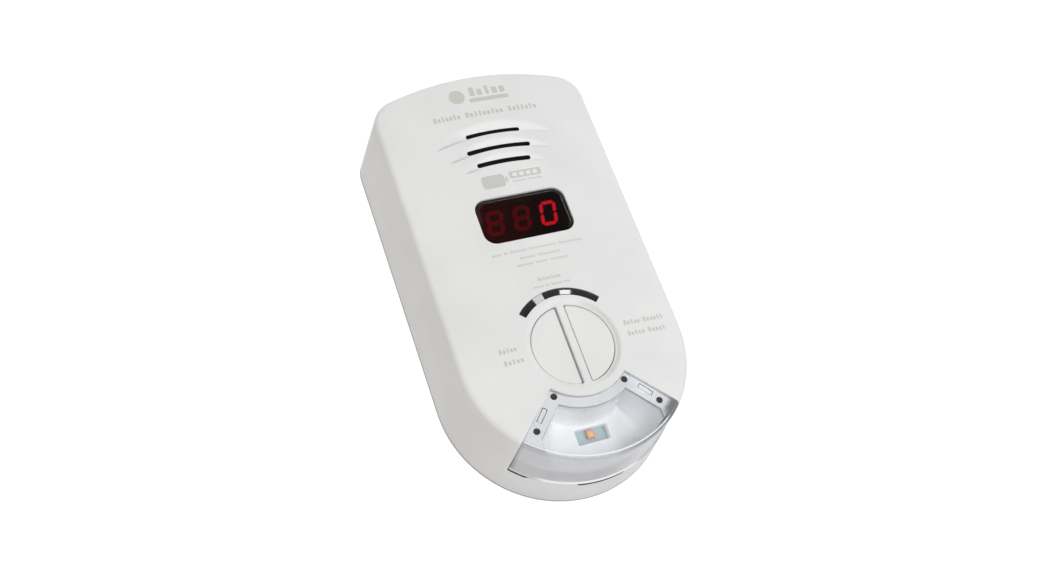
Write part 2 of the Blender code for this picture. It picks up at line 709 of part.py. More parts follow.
def make_disconnect_switch(rotor_material, body_material):
    """A slotted rotor in the back that cuts the sealed cell off at the end of its life."""
    face_y, shaft_end = -0.0005, -0.0085
    rotor = rod("battery_switch_rotor", 0, SWITCH_ROTOR_Z, ROTOR_RADIUS, -0.0038, face_y, rotor_material, ROUND_STEPS)
    join(rotor, rod("rotor_shaft", 0, SWITCH_ROTOR_Z, 0.0025, shaft_end, -0.0033))
    slot_low = (-0.0045, face_y - 0.0012, SWITCH_ROTOR_Z - 0.0008)
    cut(rotor, block("rotor_slot", slot_low, (0.0045, 0.001, SWITCH_ROTOR_Z + 0.0008)))
    hang_on_axis("battery_switch_axis", (0, face_y, SWITCH_ROTOR_Z), rotor)
    low, high = (-0.007, -0.0105, SWITCH_ROTOR_Z - 0.007), (0.007, -0.0041, SWITCH_ROTOR_Z + 0.007)
    body = block("battery_switch_body", low, high, body_material)
    cut(body, rod("shaft_bore", 0, SWITCH_ROTOR_Z, 0.0028, -0.0091, -0.003))


# --- Mains side ----------------------------------------------------------------------------


def make_plug(blade_material, clip_material):
    for name, side in (("left", -1), ("right", 1)):
        x, half_x, half_z = side * BLADE_X, BLADE_THICK / 2, BLADE_WIDE / 2
        low, high = (x - half_x, BLADE_ROOT_Y, BLADE_Z - half_z), (x + half_x, BLADE_TIP_Y, BLADE_Z + half_z)
        blade = block(f"plug_blade_{name}", low, high, blade_material)
        hole = x_cylinder(f"blade_hole_{name}", x - 0.002, x + 0.002, BLADE_HOLE_Y, BLADE_Z, BLADE_HOLE_RADIUS)
        cut(blade, hole)
        low, high = (x - 0.0021, -0.0077, BLADE_Z - 0.0037), (x + 0.0021, -0.0049, BLADE_Z + 0.0037)
        clip = block(f"blade_clip_{name}", low, high, clip_material)
        slot_half = half_x + GAP
        low, high = (x - slot_half, -0.009, BLADE_Z - 0.0032), (x + slot_half, -0.004, BLADE_Z + 0.006)
        cut(clip, block(f"clip_slot_{name}", low, high))


def make_power_board(material):
    half = POWER_BOARD_HALF_WIDTH
    low = (-half, POWER_BOARD_FRONT_Y, POWER_BOARD_Z[0])
    block("power_board", low, (half, POWER_BOARD_BACK_Y, POWER_BOARD_Z[1]), material)


def make_transformer(core_material, winding_material):
    x, y, z = -0.014, -0.0172, 0.032
    low, high = Vector((x - 0.009, y - 0.004, z - 0.009)), Vector((x + 0.009, y + 0.004, z + 0.009))
    core = block("transformer_core", low, high, core_material)
    for side in (-1, 1):
        middle = x + side * 0.0041
        window_low = (middle - 0.0016, y - 0.006, z - 0.0055)
        cut(core, block(f"core_window_{side}", window_low, (middle + 0.0016, y + 0.006, z + 0.0055)))
    low, high = (x - 0.0053, y - 0.0067, z - 0.0052), (x + 0.0053, y + 0.0067, z + 0.0052)
    winding = block("transformer_winding", low, high, winding_material)
    low, high = (x - 0.0028, y - 0.0043, z - 0.01), (x + 0.0028, y + 0.0043, z + 0.01)
    cut(winding, block("winding_bore", low, high))


def make_power_components(can_material, film_material, fuse_material, varistor_material):
    front_y = POWER_BOARD_FRONT_Y - GAP
    rod("smoothing_capacitor", 0.014, 0.037, 0.005, front_y - 0.014, front_y, can_material, ROUND_STEPS)
    rod("filter_capacitor", 0.021, 0.0255, 0.00315, front_y - 0.011, front_y, can_material)
    block("film_capacitor", (0.009, front_y - 0.011, 0.0085), (0.022, front_y, 0.0145), film_material)
    rod("fuse", 0.0035, 0.042, 0.0018, front_y - 0.009, front_y, fuse_material)
    varistor = x_cylinder("varistor", -0.0125, -0.009, front_y - 0.0042, 0.0105, 0.004, varistor_material)
    join(varistor, block("varistor_leads", (-0.0112, front_y - 0.002, 0.0085), (-0.0103, front_y, 0.0125)))


# --- Assembly ------------------------------------------------------------------------------


def main():
    shell = make_material("shell", (0.80, 0.79, 0.78), 0.45)
    button = make_material("button", (0.80, 0.80, 0.79), 0.4)
    window = make_material("window", (0.04, 0.01, 0.01), 0.1)
    smoked = make_material("smoked_lens", (0.01, 0.01, 0.01), 0.08)
    clear = make_material("clear_lens", (0.9, 0.92, 0.93), 0.05, transmission=1.0)
    tray = make_material("reflector", (0.86, 0.87, 0.88), 0.3)
    dark = make_material("dark_plastic", (0.03, 0.03, 0.03), 0.5)
    black = make_material("component_black", (0.02, 0.02, 0.02), 0.45)
    board = make_material("circuit_board", (0.03, 0.22, 0.09), 0.4)
    white_board = make_material("led_board", (0.75, 0.80, 0.78), 0.4)
    phosphor = make_material("led_phosphor", (0.95, 0.75, 0.25), 0.4)
    red_led = make_material("led_body", (0.85, 0.85, 0.85), 0.2)
    steel = make_material("screw_steel", (0.55, 0.55, 0.56), 0.3, 1.0)
    brass = make_material("blade_brass", (0.75, 0.62, 0.35), 0.3, 1.0)
    nickel = make_material("nickel_spring", (0.70, 0.69, 0.66), 0.3, 1.0)
    aluminium = make_material("capacitor_can", (0.25, 0.28, 0.33), 0.4, 0.3)
    film = make_material("film_yellow", (0.75, 0.60, 0.10), 0.4)
    ceramic = make_material("ceramic_blue", (0.10, 0.20, 0.50), 0.4)
    glass = make_material("fuse_sleeve", (0.35, 0.25, 0.20), 0.3)
    ferrite = make_material("ferrite", (0.08, 0.08, 0.08), 0.6)
    winding = make_material("winding_tape", (0.80, 0.65, 0.15), 0.5)
    cell = make_material("cell_sleeve", (0.20, 0.30, 0.50), 0.4)
    label = make_material("label", (0.75, 0.75, 0.75), 0.5)
    cloth = make_material("mesh_fabric", (0.03, 0.03, 0.03), 0.9)
    lead = make_material("lead_insulation", (0.6, 0.05, 0.05), 0.5)

    make_front_cover(shell)
    make_rear_cover(shell)
    make_rating_label(label)
    make_case_screws(steel)
    make_board_screws(steel)
    make_display(window, black)
    make_status_lens(smoked)
    make_indicators(red_led, black)
    for name, side in (("left", -1), ("right", 1)):
        make_button(name, side, button)
        make_switch(name, side, black, dark)
    make_night_light_lens(clear)
    make_light_tray(tray, dark)
    make_night_light_board(white_board, phosphor, lead)
    make_main_board(board, black)
    make_sounder(dark, brass, cloth)
    make_gas_sensor(nickel, dark)
    make_battery(cell, dark, nickel)
    make_disconnect_switch(dark, black)
    make_plug(brass, nickel)
    make_power_board(board)
    make_transformer(ferrite, winding)
    make_power_components(aluminium, film, glass, ceramic)


main()
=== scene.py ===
"""Looks of the plug-in carbon monoxide alarm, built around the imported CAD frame. Metres."""

import json
import math

import bmesh
import bpy
import numpy as np
from mathutils import Matrix, Vector
from mathutils.geometry import delaunay_2d_cdt


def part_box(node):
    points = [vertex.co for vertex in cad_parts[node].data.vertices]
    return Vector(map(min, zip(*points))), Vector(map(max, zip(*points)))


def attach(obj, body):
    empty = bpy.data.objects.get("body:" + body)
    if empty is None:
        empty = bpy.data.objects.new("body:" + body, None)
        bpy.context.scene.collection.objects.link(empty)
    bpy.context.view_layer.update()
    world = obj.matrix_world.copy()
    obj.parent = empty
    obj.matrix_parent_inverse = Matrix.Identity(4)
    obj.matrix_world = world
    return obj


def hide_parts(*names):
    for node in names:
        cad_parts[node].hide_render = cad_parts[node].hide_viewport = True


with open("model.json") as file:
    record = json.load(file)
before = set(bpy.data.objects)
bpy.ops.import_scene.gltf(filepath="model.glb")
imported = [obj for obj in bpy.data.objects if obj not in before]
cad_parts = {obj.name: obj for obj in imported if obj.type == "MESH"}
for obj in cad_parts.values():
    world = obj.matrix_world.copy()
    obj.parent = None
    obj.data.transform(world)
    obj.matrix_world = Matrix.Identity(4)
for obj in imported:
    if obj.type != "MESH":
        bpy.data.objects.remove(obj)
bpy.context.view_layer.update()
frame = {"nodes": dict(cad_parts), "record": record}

# --- Driving dimensions, from the frame where it has them ----------------------------------

MM = 0.001
COVER_LOW, COVER_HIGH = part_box("front_cover")
REAR_LOW, REAR_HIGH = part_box("rear_cover")
WINDOW_LOW, WINDOW_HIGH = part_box("display_window")
BUTTON_LOW, BUTTON_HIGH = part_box("left_button")
MODULE_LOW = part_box("display_module")[0]
STATUS_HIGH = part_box("status_lens")[1]
LENS_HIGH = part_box("night_light_lens")[1]
TRAY_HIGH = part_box("light_tray")[1]

DEPTH = -COVER_LOW.y  # the front face's crown is at y = -DEPTH
SEAM_Y = COVER_HIGH.y
FLARE = 2.64 * MM
HALF_WIDTH = REAR_HIGH.x - FLARE
CROWN = 3.06 * MM
WALL = 2.2 * MM
EDGE_ROUND = 1.8 * MM
BUTTON_Z = (BUTTON_LOW.z + BUTTON_HIGH.z) / 2
CENTRE = (0.0, BUTTON_Z)  # middle of the buttons, dish, grille and status lens
LOWER_ARC_Z = BUTTON_Z - 0.2 * MM
LOWER_CENTRE = (0.0, LOWER_ARC_Z)  # middle of the body's round lower end
TOP_ARC_RADIUS = 139 * MM
TOP_Z = REAR_HIGH.z - FLARE
CORNER_RADIUS = 10.5 * MM

SLOTS = ((90.65, 6.3), (83.7, 8.1), (77.45, 7.3))  # middle radius in mm, reach in degrees
SLOT_WIDTH = 1.6 * MM
# Louvre hollows: radius of the crease, reach in degrees, height and its falloff, depth
LOUVRES = ((89.3, 15.6, 6.2, 0.75, 1.75), (82.35, 14.6, 5.3, 0.8, 1.6), (76.0, 12.6, 5.0, 0.8, 1.5))
CREASE_HALF = 0.18 * MM
HOLLOW_HIGHLIGHT_DEPTH = 0.45 * MM  # how deep a hollow is where its painted highlight is full
GRILLE_POCKET = 0.05 * MM  # how much thinner the wall is behind the grille

WINDOW_HALF = ((WINDOW_HIGH.x - WINDOW_LOW.x) / 2 + 0.5 * MM, (WINDOW_HIGH.z - WINDOW_LOW.z) / 2 + 0.5 * MM)
WINDOW_Z = (WINDOW_LOW.z + WINDOW_HIGH.z) / 2
WINDOW_CORNER = 4.65 * MM

STATUS_INNER = 18.7 * MM
STATUS_OUTER = 21.55 * MM
STATUS_ANGLE = 45.9
STATUS_CLEAR = (13.3, 24.8)  # degrees left of the top

DISH_RADIUS = 17.2 * MM
DISH_FOOT = 15.5 * MM
DISH_DEPTH = 1.0 * MM
BAR_DEPTH = 0.5 * MM
BAR_HALF_WIDTH = 1.35 * MM
WELL_RADIUS = 15.2 * MM
WELL_CORNER = 0.7 * MM

NOTCH_ANGLE = 44.9  # the opening for the night light lens, each side of straight down
NOTCH_SHOULDER = NOTCH_ANGLE + 0.35  # the row of points just outside the opening
NOTCH_COLUMN = 32  # index of the outline point at the opening's edge
NOTCH_INNER = 19.75 * MM
NOTCH_END_Y = LENS_HIGH.y + 0.15 * MM
LENS_ANGLE = 44.6
LENS_INNER = 19.95 * MM
LENS_WALL = 1.2 * MM
LENS_SINK = 0.35 * MM  # how far the lens's wall lies below the cover, up to a raised lip at its end
LENS_LIP = 0.9 * MM


# --- Outlines and the body's skin ----------------------------------------------------------


def arc(centre, radius, start, end, steps):
    """Points (x, z) on an arc, angles in degrees from +X towards +Z."""
    turns = np.radians(np.linspace(start, end, steps + 1))
    return [(centre[0] + radius * math.cos(a), centre[1] + radius * math.sin(a)) for a in turns]


def circle(centre, radius, steps=40, start=0.0):
    return arc(centre, radius, start, start + 360.0, steps)[:-1]


def mirrored(points):
    """The points on the other side of the body, in the opposite order."""
    return [(-x, z) for x, z in reversed(points)]


def lifted(loop, height, drop=0.0):
    """The (x, z) points at a height along Y, which is a number or a function of (x, z)."""
    return [(x, (height(x, z) if callable(height) else height) + drop, z) for x, z in loop]


def between(start, end, share):
    """The row of points at a share of the way from one row to another."""
    return [tuple(Vector(a).lerp(Vector(b), share)) for a, b in zip(start, end)]


def full_outline(offset):
    """The body's closed outline, from its lowest point up the right side and down the left."""
    top_centre_z = TOP_Z - TOP_ARC_RADIUS
    corner_x = HALF_WIDTH - CORNER_RADIUS
    reach = TOP_ARC_RADIUS - CORNER_RADIUS
    corner_z = top_centre_z + math.sqrt(reach**2 - corner_x**2)
    turn = math.degrees(math.atan2(corner_z - top_centre_z, corner_x))
    right = arc(LOWER_CENTRE, HALF_WIDTH + offset, -90.0, NOTCH_ANGLE - 90.0, NOTCH_COLUMN)
    right += arc(LOWER_CENTRE, HALF_WIDTH + offset, NOTCH_SHOULDER - 90.0, 0.0, 32)
    side = np.linspace(right[-1][1], corner_z, 24)[1:-1]
    right += [(right[-1][0], float(z)) for z in side]
    right += arc((corner_x, corner_z), CORNER_RADIUS + offset, 0.0, turn, 20)
    right += arc((0.0, top_centre_z), TOP_ARC_RADIUS + offset, turn, 90.0, 20)[1:]
    return right + mirrored(right[1:-1])


def flare(y):
    """How far the body's outline stands out at a height."""
    return FLARE * (y + DEPTH) / DEPTH


def crown(x):
    """How far the face falls back to its sides."""
    return CROWN * (x / HALF_WIDTH) ** 2


def ease(t):
    """0 to 1 with a soft start and end."""
    t = min(1.0, max(0.0, t))
    return t * t * (3 - 2 * t)


def polar(x, z):
    """Radius from the button centre and degrees from straight up, positive to the right."""
    dz = z - BUTTON_Z
    return math.hypot(x, dz), math.degrees(math.atan2(x, dz))


def louvre_depth(radius, angle):
    """How deep the grille's crescent hollows are at a point above the buttons."""
    for crease_mm, reach, height_mm, falloff, depth_mm in LOUVRES:
        if abs(angle) >= reach:
            continue
        share = 1 - (angle / reach) ** 2
        rise = radius - crease_mm * MM
        height = height_mm * MM * share**falloff
        if -CREASE_HALF < rise < height:
            foot = ease((rise + CREASE_HALF) / (2 * CREASE_HALF))
            slope = 1 - max(0.0, rise) / height
            return depth_mm * MM * share**0.7 * foot * slope
    return 0.0


def dish_depth(x, radius):
    """The round dish that the buttons sit in, with the bar between them standing higher."""
    if radius >= DISH_RADIUS:
        return 0.0
    dish = DISH_DEPTH * ease((DISH_RADIUS - radius) / (DISH_RADIUS - DISH_FOOT))
    bar = ease((2.2 * BAR_HALF_WIDTH - abs(x)) / (1.2 * BAR_HALF_WIDTH))
    return dish * (1 - bar) + min(dish, BAR_DEPTH) * bar


def skin_y(x, z):
    """The crowned face without its hollows, which is level along Z."""
    return -DEPTH + crown(x)


def face_y(x, z):
    """The front face's outer surface."""
    radius, angle = polar(x, z)
    return skin_y(x, z) + louvre_depth(radius, angle) + dish_depth(x, radius)


def inner_y(x, z):
    """The front wall's inner surface, which is thinned behind the grille."""
    radius, angle = polar(x, z)
    across = ease((14.0 - abs(angle)) / 3.0)
    along = ease((radius - 73.5 * MM) / (1.5 * MM)) * ease((94.5 * MM - radius) / (1.5 * MM))
    return skin_y(x, z) + WALL - GRILLE_POCKET * across * along


# --- Sheets: triangulated faces lifted from the (x, z) plane -------------------------------

SLIVER = 1e-11  # m2; flatter triangles are rounding errors along a straight edge
IN_MM = 1000  # the triangulation works in mm
RIM_GUARD = 0.225 * MM  # strip along a sheet's edge that stays free of loose points


def inside(points, polygon):
    """Even-odd test of many points against one polygon."""
    px, pz = points[:, 0], points[:, 1]
    result = np.zeros(len(points), bool)
    loop = np.asarray(polygon)
    for (x0, z0), (x1, z1) in zip(loop, np.roll(loop, -1, axis=0)):
        crosses = (z0 > pz) != (z1 > pz)
        if z0 != z1:
            result ^= crosses & (px < (x1 - x0) * (pz - z0) / (z1 - z0) + x0)
    return result


def grown(loop, distance):
    """The polygon with every side moved outwards, or inwards where distance is negative."""
    points = np.asarray(loop, float)
    before, after = points - np.roll(points, 1, axis=0), np.roll(points, -1, axis=0) - points
    area = np.sum(points[:, 0] * np.roll(points[:, 1], -1) - np.roll(points[:, 0], -1) * points[:, 1])
    turn = 1.0 if area > 0 else -1.0
    normals = []
    for step in (before, after):
        length = np.linalg.norm(step, axis=1, keepdims=True)
        normals.append(np.stack([step[:, 1], -step[:, 0]], axis=1) / length * turn)
    middle = normals[0] + normals[1]
    middle /= np.sum(middle * normals[0], axis=1, keepdims=True)
    return [tuple(p) for p in points + middle * distance]


def roll_steps(radius):
    """How far each row of a rolled edge lies beyond its outline and below its top."""
    turns = [math.radians(degrees) for degrees in (0.0, 30.0, 60.0, 90.0)]
    return [(radius * (1 - math.cos(turn)), radius * (1 - math.sin(turn))) for turn in turns]


class Sheet:
    """Loops and points in the (x, z) plane that become one lifted face."""

    def __init__(self, boundary):
        self.points, self.drops, self.edges = [], [], []
        self.boundary, self.inner = boundary, boundary
        self.holes, self.keep_out = [], []

    def line(self, points, drop=0.0, closed=True):
        first = len(self.points)
        self.points += points
        self.drops += [drop] * len(points)
        last = len(self.points) - 1
        self.edges += [(i, i + 1) for i in range(first, last)]
        if closed:
            self.edges.append((last, first))

    def hole(self, outline_at, radius=0.0, guard=0.2 * MM):
        """A hole whose edge is rolled over with a radius; outline_at(s) is s outside its edge."""
        self.holes.append(outline_at(0.0))
        if radius:
            for beyond, drop in roll_steps(radius):
                self.line(outline_at(beyond), drop)
            self.line(outline_at(radius + guard))
            self.keep_out.append(outline_at(radius + 1.5 * guard))
        else:
            self.line(outline_at(0.0))
            self.keep_out.append(outline_at(guard))

    def cut(self, loop, radius=0.0, guard=0.2 * MM):
        """The same for a loop of points."""
        self.hole(lambda grow: grown(loop, grow) if grow else list(loop), radius, guard)

    def rim(self, radius=0.0):
        """The sheet's own edge, rolled over with a radius."""
        self.inner = grown(self.boundary, -radius - RIM_GUARD)
        if not radius:
            self.line(list(self.boundary))
            return
        for beyond, drop in roll_steps(radius):
            self.line(grown(self.boundary, -beyond), drop)

    def dots(self, points, keep_out=()):
        """Loose points, less those outside the sheet or in its keep-out loops."""
        spots = np.array(points)
        wanted = inside(spots, self.inner)
        for loop in [*self.keep_out, *keep_out]:
            wanted &= ~inside(spots, loop)
        self.points += [tuple(p) for p in spots[wanted]]
        self.drops += [0.0] * int(wanted.sum())

    def build(self, height, sign=1.0):
        """Vertices (x, y, z) and triangles; a drop moves a point by sign times it along Y."""
        flat = [Vector((x * IN_MM, z * IN_MM)) for x, z in self.points]
        found = delaunay_2d_cdt(flat, self.edges, [], 0, 1e-5)
        places = np.array([tuple(p) for p in found[0]]) / IN_MM
        triangles = np.array(found[2])
        drops = [max((self.drops[i] for i in origin), default=0.0) for origin in found[3]]
        centres = places[triangles].mean(axis=1)
        wanted = inside(centres, self.boundary)
        for hole in self.holes:
            wanted &= ~inside(centres, hole)
        vertices = [(x, height(x, z) + sign * drop, z) for (x, z), drop in zip(places, drops)]
        faces = []
        for a, b, c in triangles[wanted]:
            (ax, az), (bx, bz), (cx, cz) = places[a], places[b], places[c]
            turn = (bx - ax) * (cz - az) - (bz - az) * (cx - ax)
            if abs(turn) > SLIVER:
                faces.append((a, b, c) if turn > 0 else (a, c, b))
        return vertices, faces


def ring_sector(inner, outer, low, high, corner, grow=0.0, steps=40):
    """A ring sector about the button centre with round corners. Degrees from +X."""
    far, near = outer - corner, inner + corner
    far_margin = math.degrees(math.asin(corner / far))
    near_margin = math.degrees(math.asin(corner / near))
    far_low, far_high = low + far_margin, high - far_margin
    near_low, near_high = low + near_margin, high - near_margin

    def bend(reach, angle, start, end):
        return arc(arc(CENTRE, reach, angle, angle, 0)[0], corner + grow, start, end, 5)

    outline = arc(CENTRE, outer + grow, far_low, far_high, steps)[1:-1]
    outline += bend(far, far_high, far_high, high + 90.0)
    outline += bend(near, near_high, high + 90.0, near_high + 180.0)
    outline += arc(CENTRE, inner - grow, near_high, near_low, steps)[1:-1]
    outline += bend(near, near_low, near_low + 180.0, low + 270.0)
    outline += bend(far, far_low, low + 270.0, far_low + 360.0)
    return outline


def rounded_rectangle(half_width, half_height, corner, centre_x=0.0, centre_z=0.0, steps=8):
    x, z = half_width - corner, half_height - corner
    outline = []
    for sx, sz, start in ((1, 1, 0), (-1, 1, 90), (-1, -1, 180), (1, -1, 270)):
        outline += arc((centre_x + sx * x, centre_z + sz * z), corner, start, start + 90, steps)
    return outline


def slot_outline(radius, reach, half_width):
    """An arc slot with round ends above the buttons."""
    left, right = 90.0 + reach, 90.0 - reach

    def end(angle, start):
        return arc(arc(CENTRE, radius, angle, angle, 0)[0], half_width, start, start + 180.0, 8)[1:-1]

    outline = arc(CENTRE, radius + half_width, right, left, 28) + end(left, left)
    return outline + arc(CENTRE, radius - half_width, left, right, 28) + end(right, right - 180.0)


def half_disc(radius, edge_x, corner, side):
    """The half of a disc beyond a straight edge, with round corners; side is 1 or -1."""
    corner_x = edge_x + corner
    reach = radius - corner
    corner_z = math.sqrt(reach**2 - corner_x**2)
    lean = math.degrees(math.atan2(corner_z, corner_x))
    outline = arc(CENTRE, radius, -lean, lean, 56)
    outline += arc((corner_x, BUTTON_Z + corner_z), corner, lean, 180.0, 8)[1:]
    outline += [(edge_x, BUTTON_Z + corner_z * (1 - k / 6)) for k in range(1, 12)]
    outline += arc((corner_x, BUTTON_Z - corner_z), corner, 180.0, 360.0 - lean, 8)[:-1]
    return [(side * x, z) for x, z in outline]


# --- Meshes and pieces ---------------------------------------------------------------------

WELD = 2e-6  # points closer than this become one
FLAT = 1e-7  # shorter edges are dissolved


class Solid:
    """Collects vertices and faces, and welds them into one mesh."""

    def __init__(self):
        self.vertices, self.faces, self.slots = [], [], []

    def add(self, vertices, faces=None, slot=0):
        """Faces between vertices, or one face round all of them."""
        first = len(self.vertices)
        faces = [range(len(vertices))] if faces is None else faces
        self.vertices += [tuple(v) for v in vertices]
        self.faces += [tuple(first + i for i in face) for face in faces]
        self.slots += [slot] * len(faces)

    def strip(self, *rows, closed=True, slot=0):
        """Quads between each row and the next, which has as many points."""
        for lower, upper in zip(rows, rows[1:]):
            count = len(lower)
            last = count if closed else count - 1
            faces = [(i, (i + 1) % count, count + (i + 1) % count, count + i) for i in range(last)]
            self.add([*lower, *upper], faces, slot)

    def piece(self, name, materials, body, replaced=(), slot=None, sharp=35.0):
        """Makes the object, which rides a body and may take a CAD node's place."""
        shape = bmesh.new()
        points = [shape.verts.new(v) for v in self.vertices]
        for face, slot_index in zip(self.faces, self.slots):
            try:
                made = shape.faces.new([points[i] for i in face])
                made.material_index = slot_index
            except ValueError:
                continue
        bmesh.ops.remove_doubles(shape, verts=shape.verts, dist=WELD)
        bmesh.ops.dissolve_degenerate(shape, edges=shape.edges, dist=FLAT)
        loose = [edge for edge in shape.edges if not edge.link_faces]
        bmesh.ops.delete(shape, geom=loose, context="EDGES")
        bmesh.ops.recalc_face_normals(shape, faces=shape.faces)
        mesh = bpy.data.meshes.new(name)
        shape.to_mesh(mesh)
        shape.free()
        for material in materials:
            mesh.materials.append(material)
        mesh.shade_smooth()
        mesh.set_sharp_from_angle(angle=math.radians(sharp))
        obj = bpy.data.objects.new(name, mesh)
        bpy.context.scene.collection.objects.link(obj)
        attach(obj, body)
        if replaced:
            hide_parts(*replaced)
        return obj


def level(y):
    return lambda x, z: y


def slab(solid, outline, front, back, roll=0.0, back_roll=0.0, holes=(), dots=()):
    """A plate between two heights, each a function of (x, z), with rolled edges."""
    for height, sign, radius in ((front, 1.0, roll), (back, -1.0, back_roll)):
        sheet = Sheet(outline)
        sheet.rim(radius)
        for hole in holes:
            sheet.cut(hole, radius)
        if dots:
            sheet.dots(dots)
        solid.add(*sheet.build(height, sign))
    for loop in (outline, *holes):
        solid.strip(lifted(loop, front, roll), lifted(loop, back, -back_roll))


def grid_dots(half_x, half_z, step, middle_z=0.0):
    """Points (x, z) on a square grid about a point on the middle line; sizes in mm."""
    xs = np.arange(-half_x * MM, half_x * MM + step * MM / 2, step * MM)
    zs = np.arange(middle_z - half_z * MM, middle_z + half_z * MM + step * MM / 2, step * MM)
    return [(float(x), float(z)) for x in xs for z in zs]


def turned_profile(solid, centre, profile, steps):
    """Strips of a shape turned about a line along Y; profile is (radius, y) from one end to the other."""
    solid.strip(*(lifted(circle(centre, max(radius, 1e-6), steps), y) for radius, y in profile))


# --- Front cover ---------------------------------------------------------------------------

SOFT = 0.15 * MM  # how far the notch's edge is rolled over
NOTCH_GAPS = ((-44.9, -36.5, 0.85), (-10.0, 11.5, 1.15))  # from and to in degrees, gap in mm
SHADE_RADIUS, SHADE_HALF = 16.4 * MM, 1.3 * MM  # painted soft shade on the dish's slope, right of the buttons


def skin_ring(turn_degrees):
    """Points of the rolled front edge: 0 is where the wall starts and 90 where the face does."""
    turn = math.radians(turn_degrees)
    y = EDGE_ROUND * (1 - math.sin(turn)) - DEPTH
    offset = flare(y) - EDGE_ROUND * (1 - math.cos(turn))
    ring = [(x, y + crown(x), z) for x, z in full_outline(offset)]
    soft_outline = full_outline(offset - SOFT * math.cos(turn))
    for i in (NOTCH_COLUMN, len(ring) - NOTCH_COLUMN):
        x, z = soft_outline[i]
        ring[i] = (x, y + crown(x) + SOFT * math.sin(turn), z)
    return ring


def wall_ring(y, inset=0.0):
    return lifted(full_outline(flare(y) - inset), y)


def notch_end_ring(inset=0.0):
    """The cover's edge at the lens's end, cut back a little further at its two prying gaps."""
    ring = []
    for x, z in full_outline(flare(NOTCH_END_Y) - inset):
        degrees = math.degrees(math.atan2(x, LOWER_ARC_Z - z))
        depth = 0.0
        for start, end, gap_mm in NOTCH_GAPS:
            depth += gap_mm * MM * ease((degrees - start) / 2.5 + 1.0) * ease((end - degrees) / 2.5 + 1.0)
        in_notch = abs(degrees) < NOTCH_ANGLE + 0.01
        ring.append((x, NOTCH_END_Y + (depth if in_notch else 0.0), z))
    return ring


def above_notch(ring):
    """The part of a ring that runs over the top, from one notch edge to the other."""
    return ring[NOTCH_COLUMN : len(ring) - NOTCH_COLUMN + 1]


def below_notch(ring):
    """The part of a ring that crosses the notch, from its left edge to its right one."""
    return ring[len(ring) - NOTCH_COLUMN :] + ring[: NOTCH_COLUMN + 1]


def notch_line(outer_radius, side, degrees=NOTCH_ANGLE, inner_radius=NOTCH_INNER):
    """Points from the rim towards the buttons along one side of the notch."""
    turn = math.radians(degrees)
    radii = np.linspace(outer_radius, inner_radius, 24)
    return [(side * r * math.sin(turn), LOWER_ARC_Z - r * math.cos(turn)) for r in radii]


def notch_arc(radius=NOTCH_INNER, reach=NOTCH_ANGLE):
    return arc(LOWER_CENTRE, radius, -90.0 - reach, -90.0 + reach, 40)


def face_boundary(rim, outer_radius):
    """The face's edge: over the top, in along the notch's left side and out along its right."""
    left, right = notch_line(outer_radius, -1), notch_line(outer_radius, 1)
    return [(x, z) for x, _, z in rim] + left[1:-1] + notch_arc() + right[-2:0:-1]


def face_holes(sheet, rolled):
    """The display, status lens, grille and button openings; rolled is 1 or 0."""

    def window(grow):
        half_x, half_z = WINDOW_HALF
        return rounded_rectangle(half_x + grow, half_z + grow, WINDOW_CORNER + grow, 0.0, WINDOW_Z)

    def status(grow):
        low, high = 90.0 - STATUS_ANGLE, 90.0 + STATUS_ANGLE
        return ring_sector(STATUS_INNER, STATUS_OUTER, low, high, 0.35 * MM, grow)

    sheet.hole(window, 0.14 * MM * rolled)
    sheet.hole(status, 0.15 * MM * rolled, 0.12 * MM)
    for radius_mm, reach in SLOTS:

        def slot(grow, r=radius_mm * MM, a=reach):
            return slot_outline(r, a, SLOT_WIDTH / 2 + grow)

        sheet.hole(slot, 0.14 * MM * rolled, 0.1 * MM)
    for side in (-1, 1):

        def well(grow, s=side):
            return half_disc(WELL_RADIUS + grow, BAR_HALF_WIDTH - grow, WELL_CORNER + grow, s)

        sheet.hole(well, 0.35 * MM * rolled, 0.15 * MM)


def add_face_dots(sheet):
    """Loose points on the face, close together at the grille and round the buttons."""
    polar_dots = []
    for radius in np.arange(74.8, 98.4, 0.45) * MM:
        near_crease = min(abs(radius - crease_mm * MM) for crease_mm, *_ in LOUVRES)
        if near_crease > 2.2 * CREASE_HALF:
            polar_dots += arc(CENTRE, radius, 73.0, 107.0, 56)
    sheet.dots(polar_dots)
    ring_dots = []
    for k, radius in enumerate(np.arange(15.95, 18.0, 0.25) * MM):
        ring_dots += circle(CENTRE, radius, 180, k)
    sheet.dots(ring_dots)
    sheet.dots([(x * MM, BUTTON_Z + z * MM) for x in (-0.7, 0.0, 0.7) for z in np.arange(-15.6, 15.7, 0.6)])
    grid = [(x * MM, z * MM) for x in np.arange(-41, 41.1, 2.0) for z in np.arange(-82, 82.1, 2.0)]
    near_edge = inside(np.array(grid), full_outline(-EDGE_ROUND - 1.0 * MM))
    grille = arc(CENTRE, 99.1 * MM, 72.5, 107.5, 30) + arc(CENTRE, 73.9 * MM, 107.5, 72.5, 30)
    dish = arc(CENTRE, 18.4 * MM, 0, 360, 60)
    sheet.dots([spot for spot, fine in zip(grid, near_edge) if fine], [grille, dish])


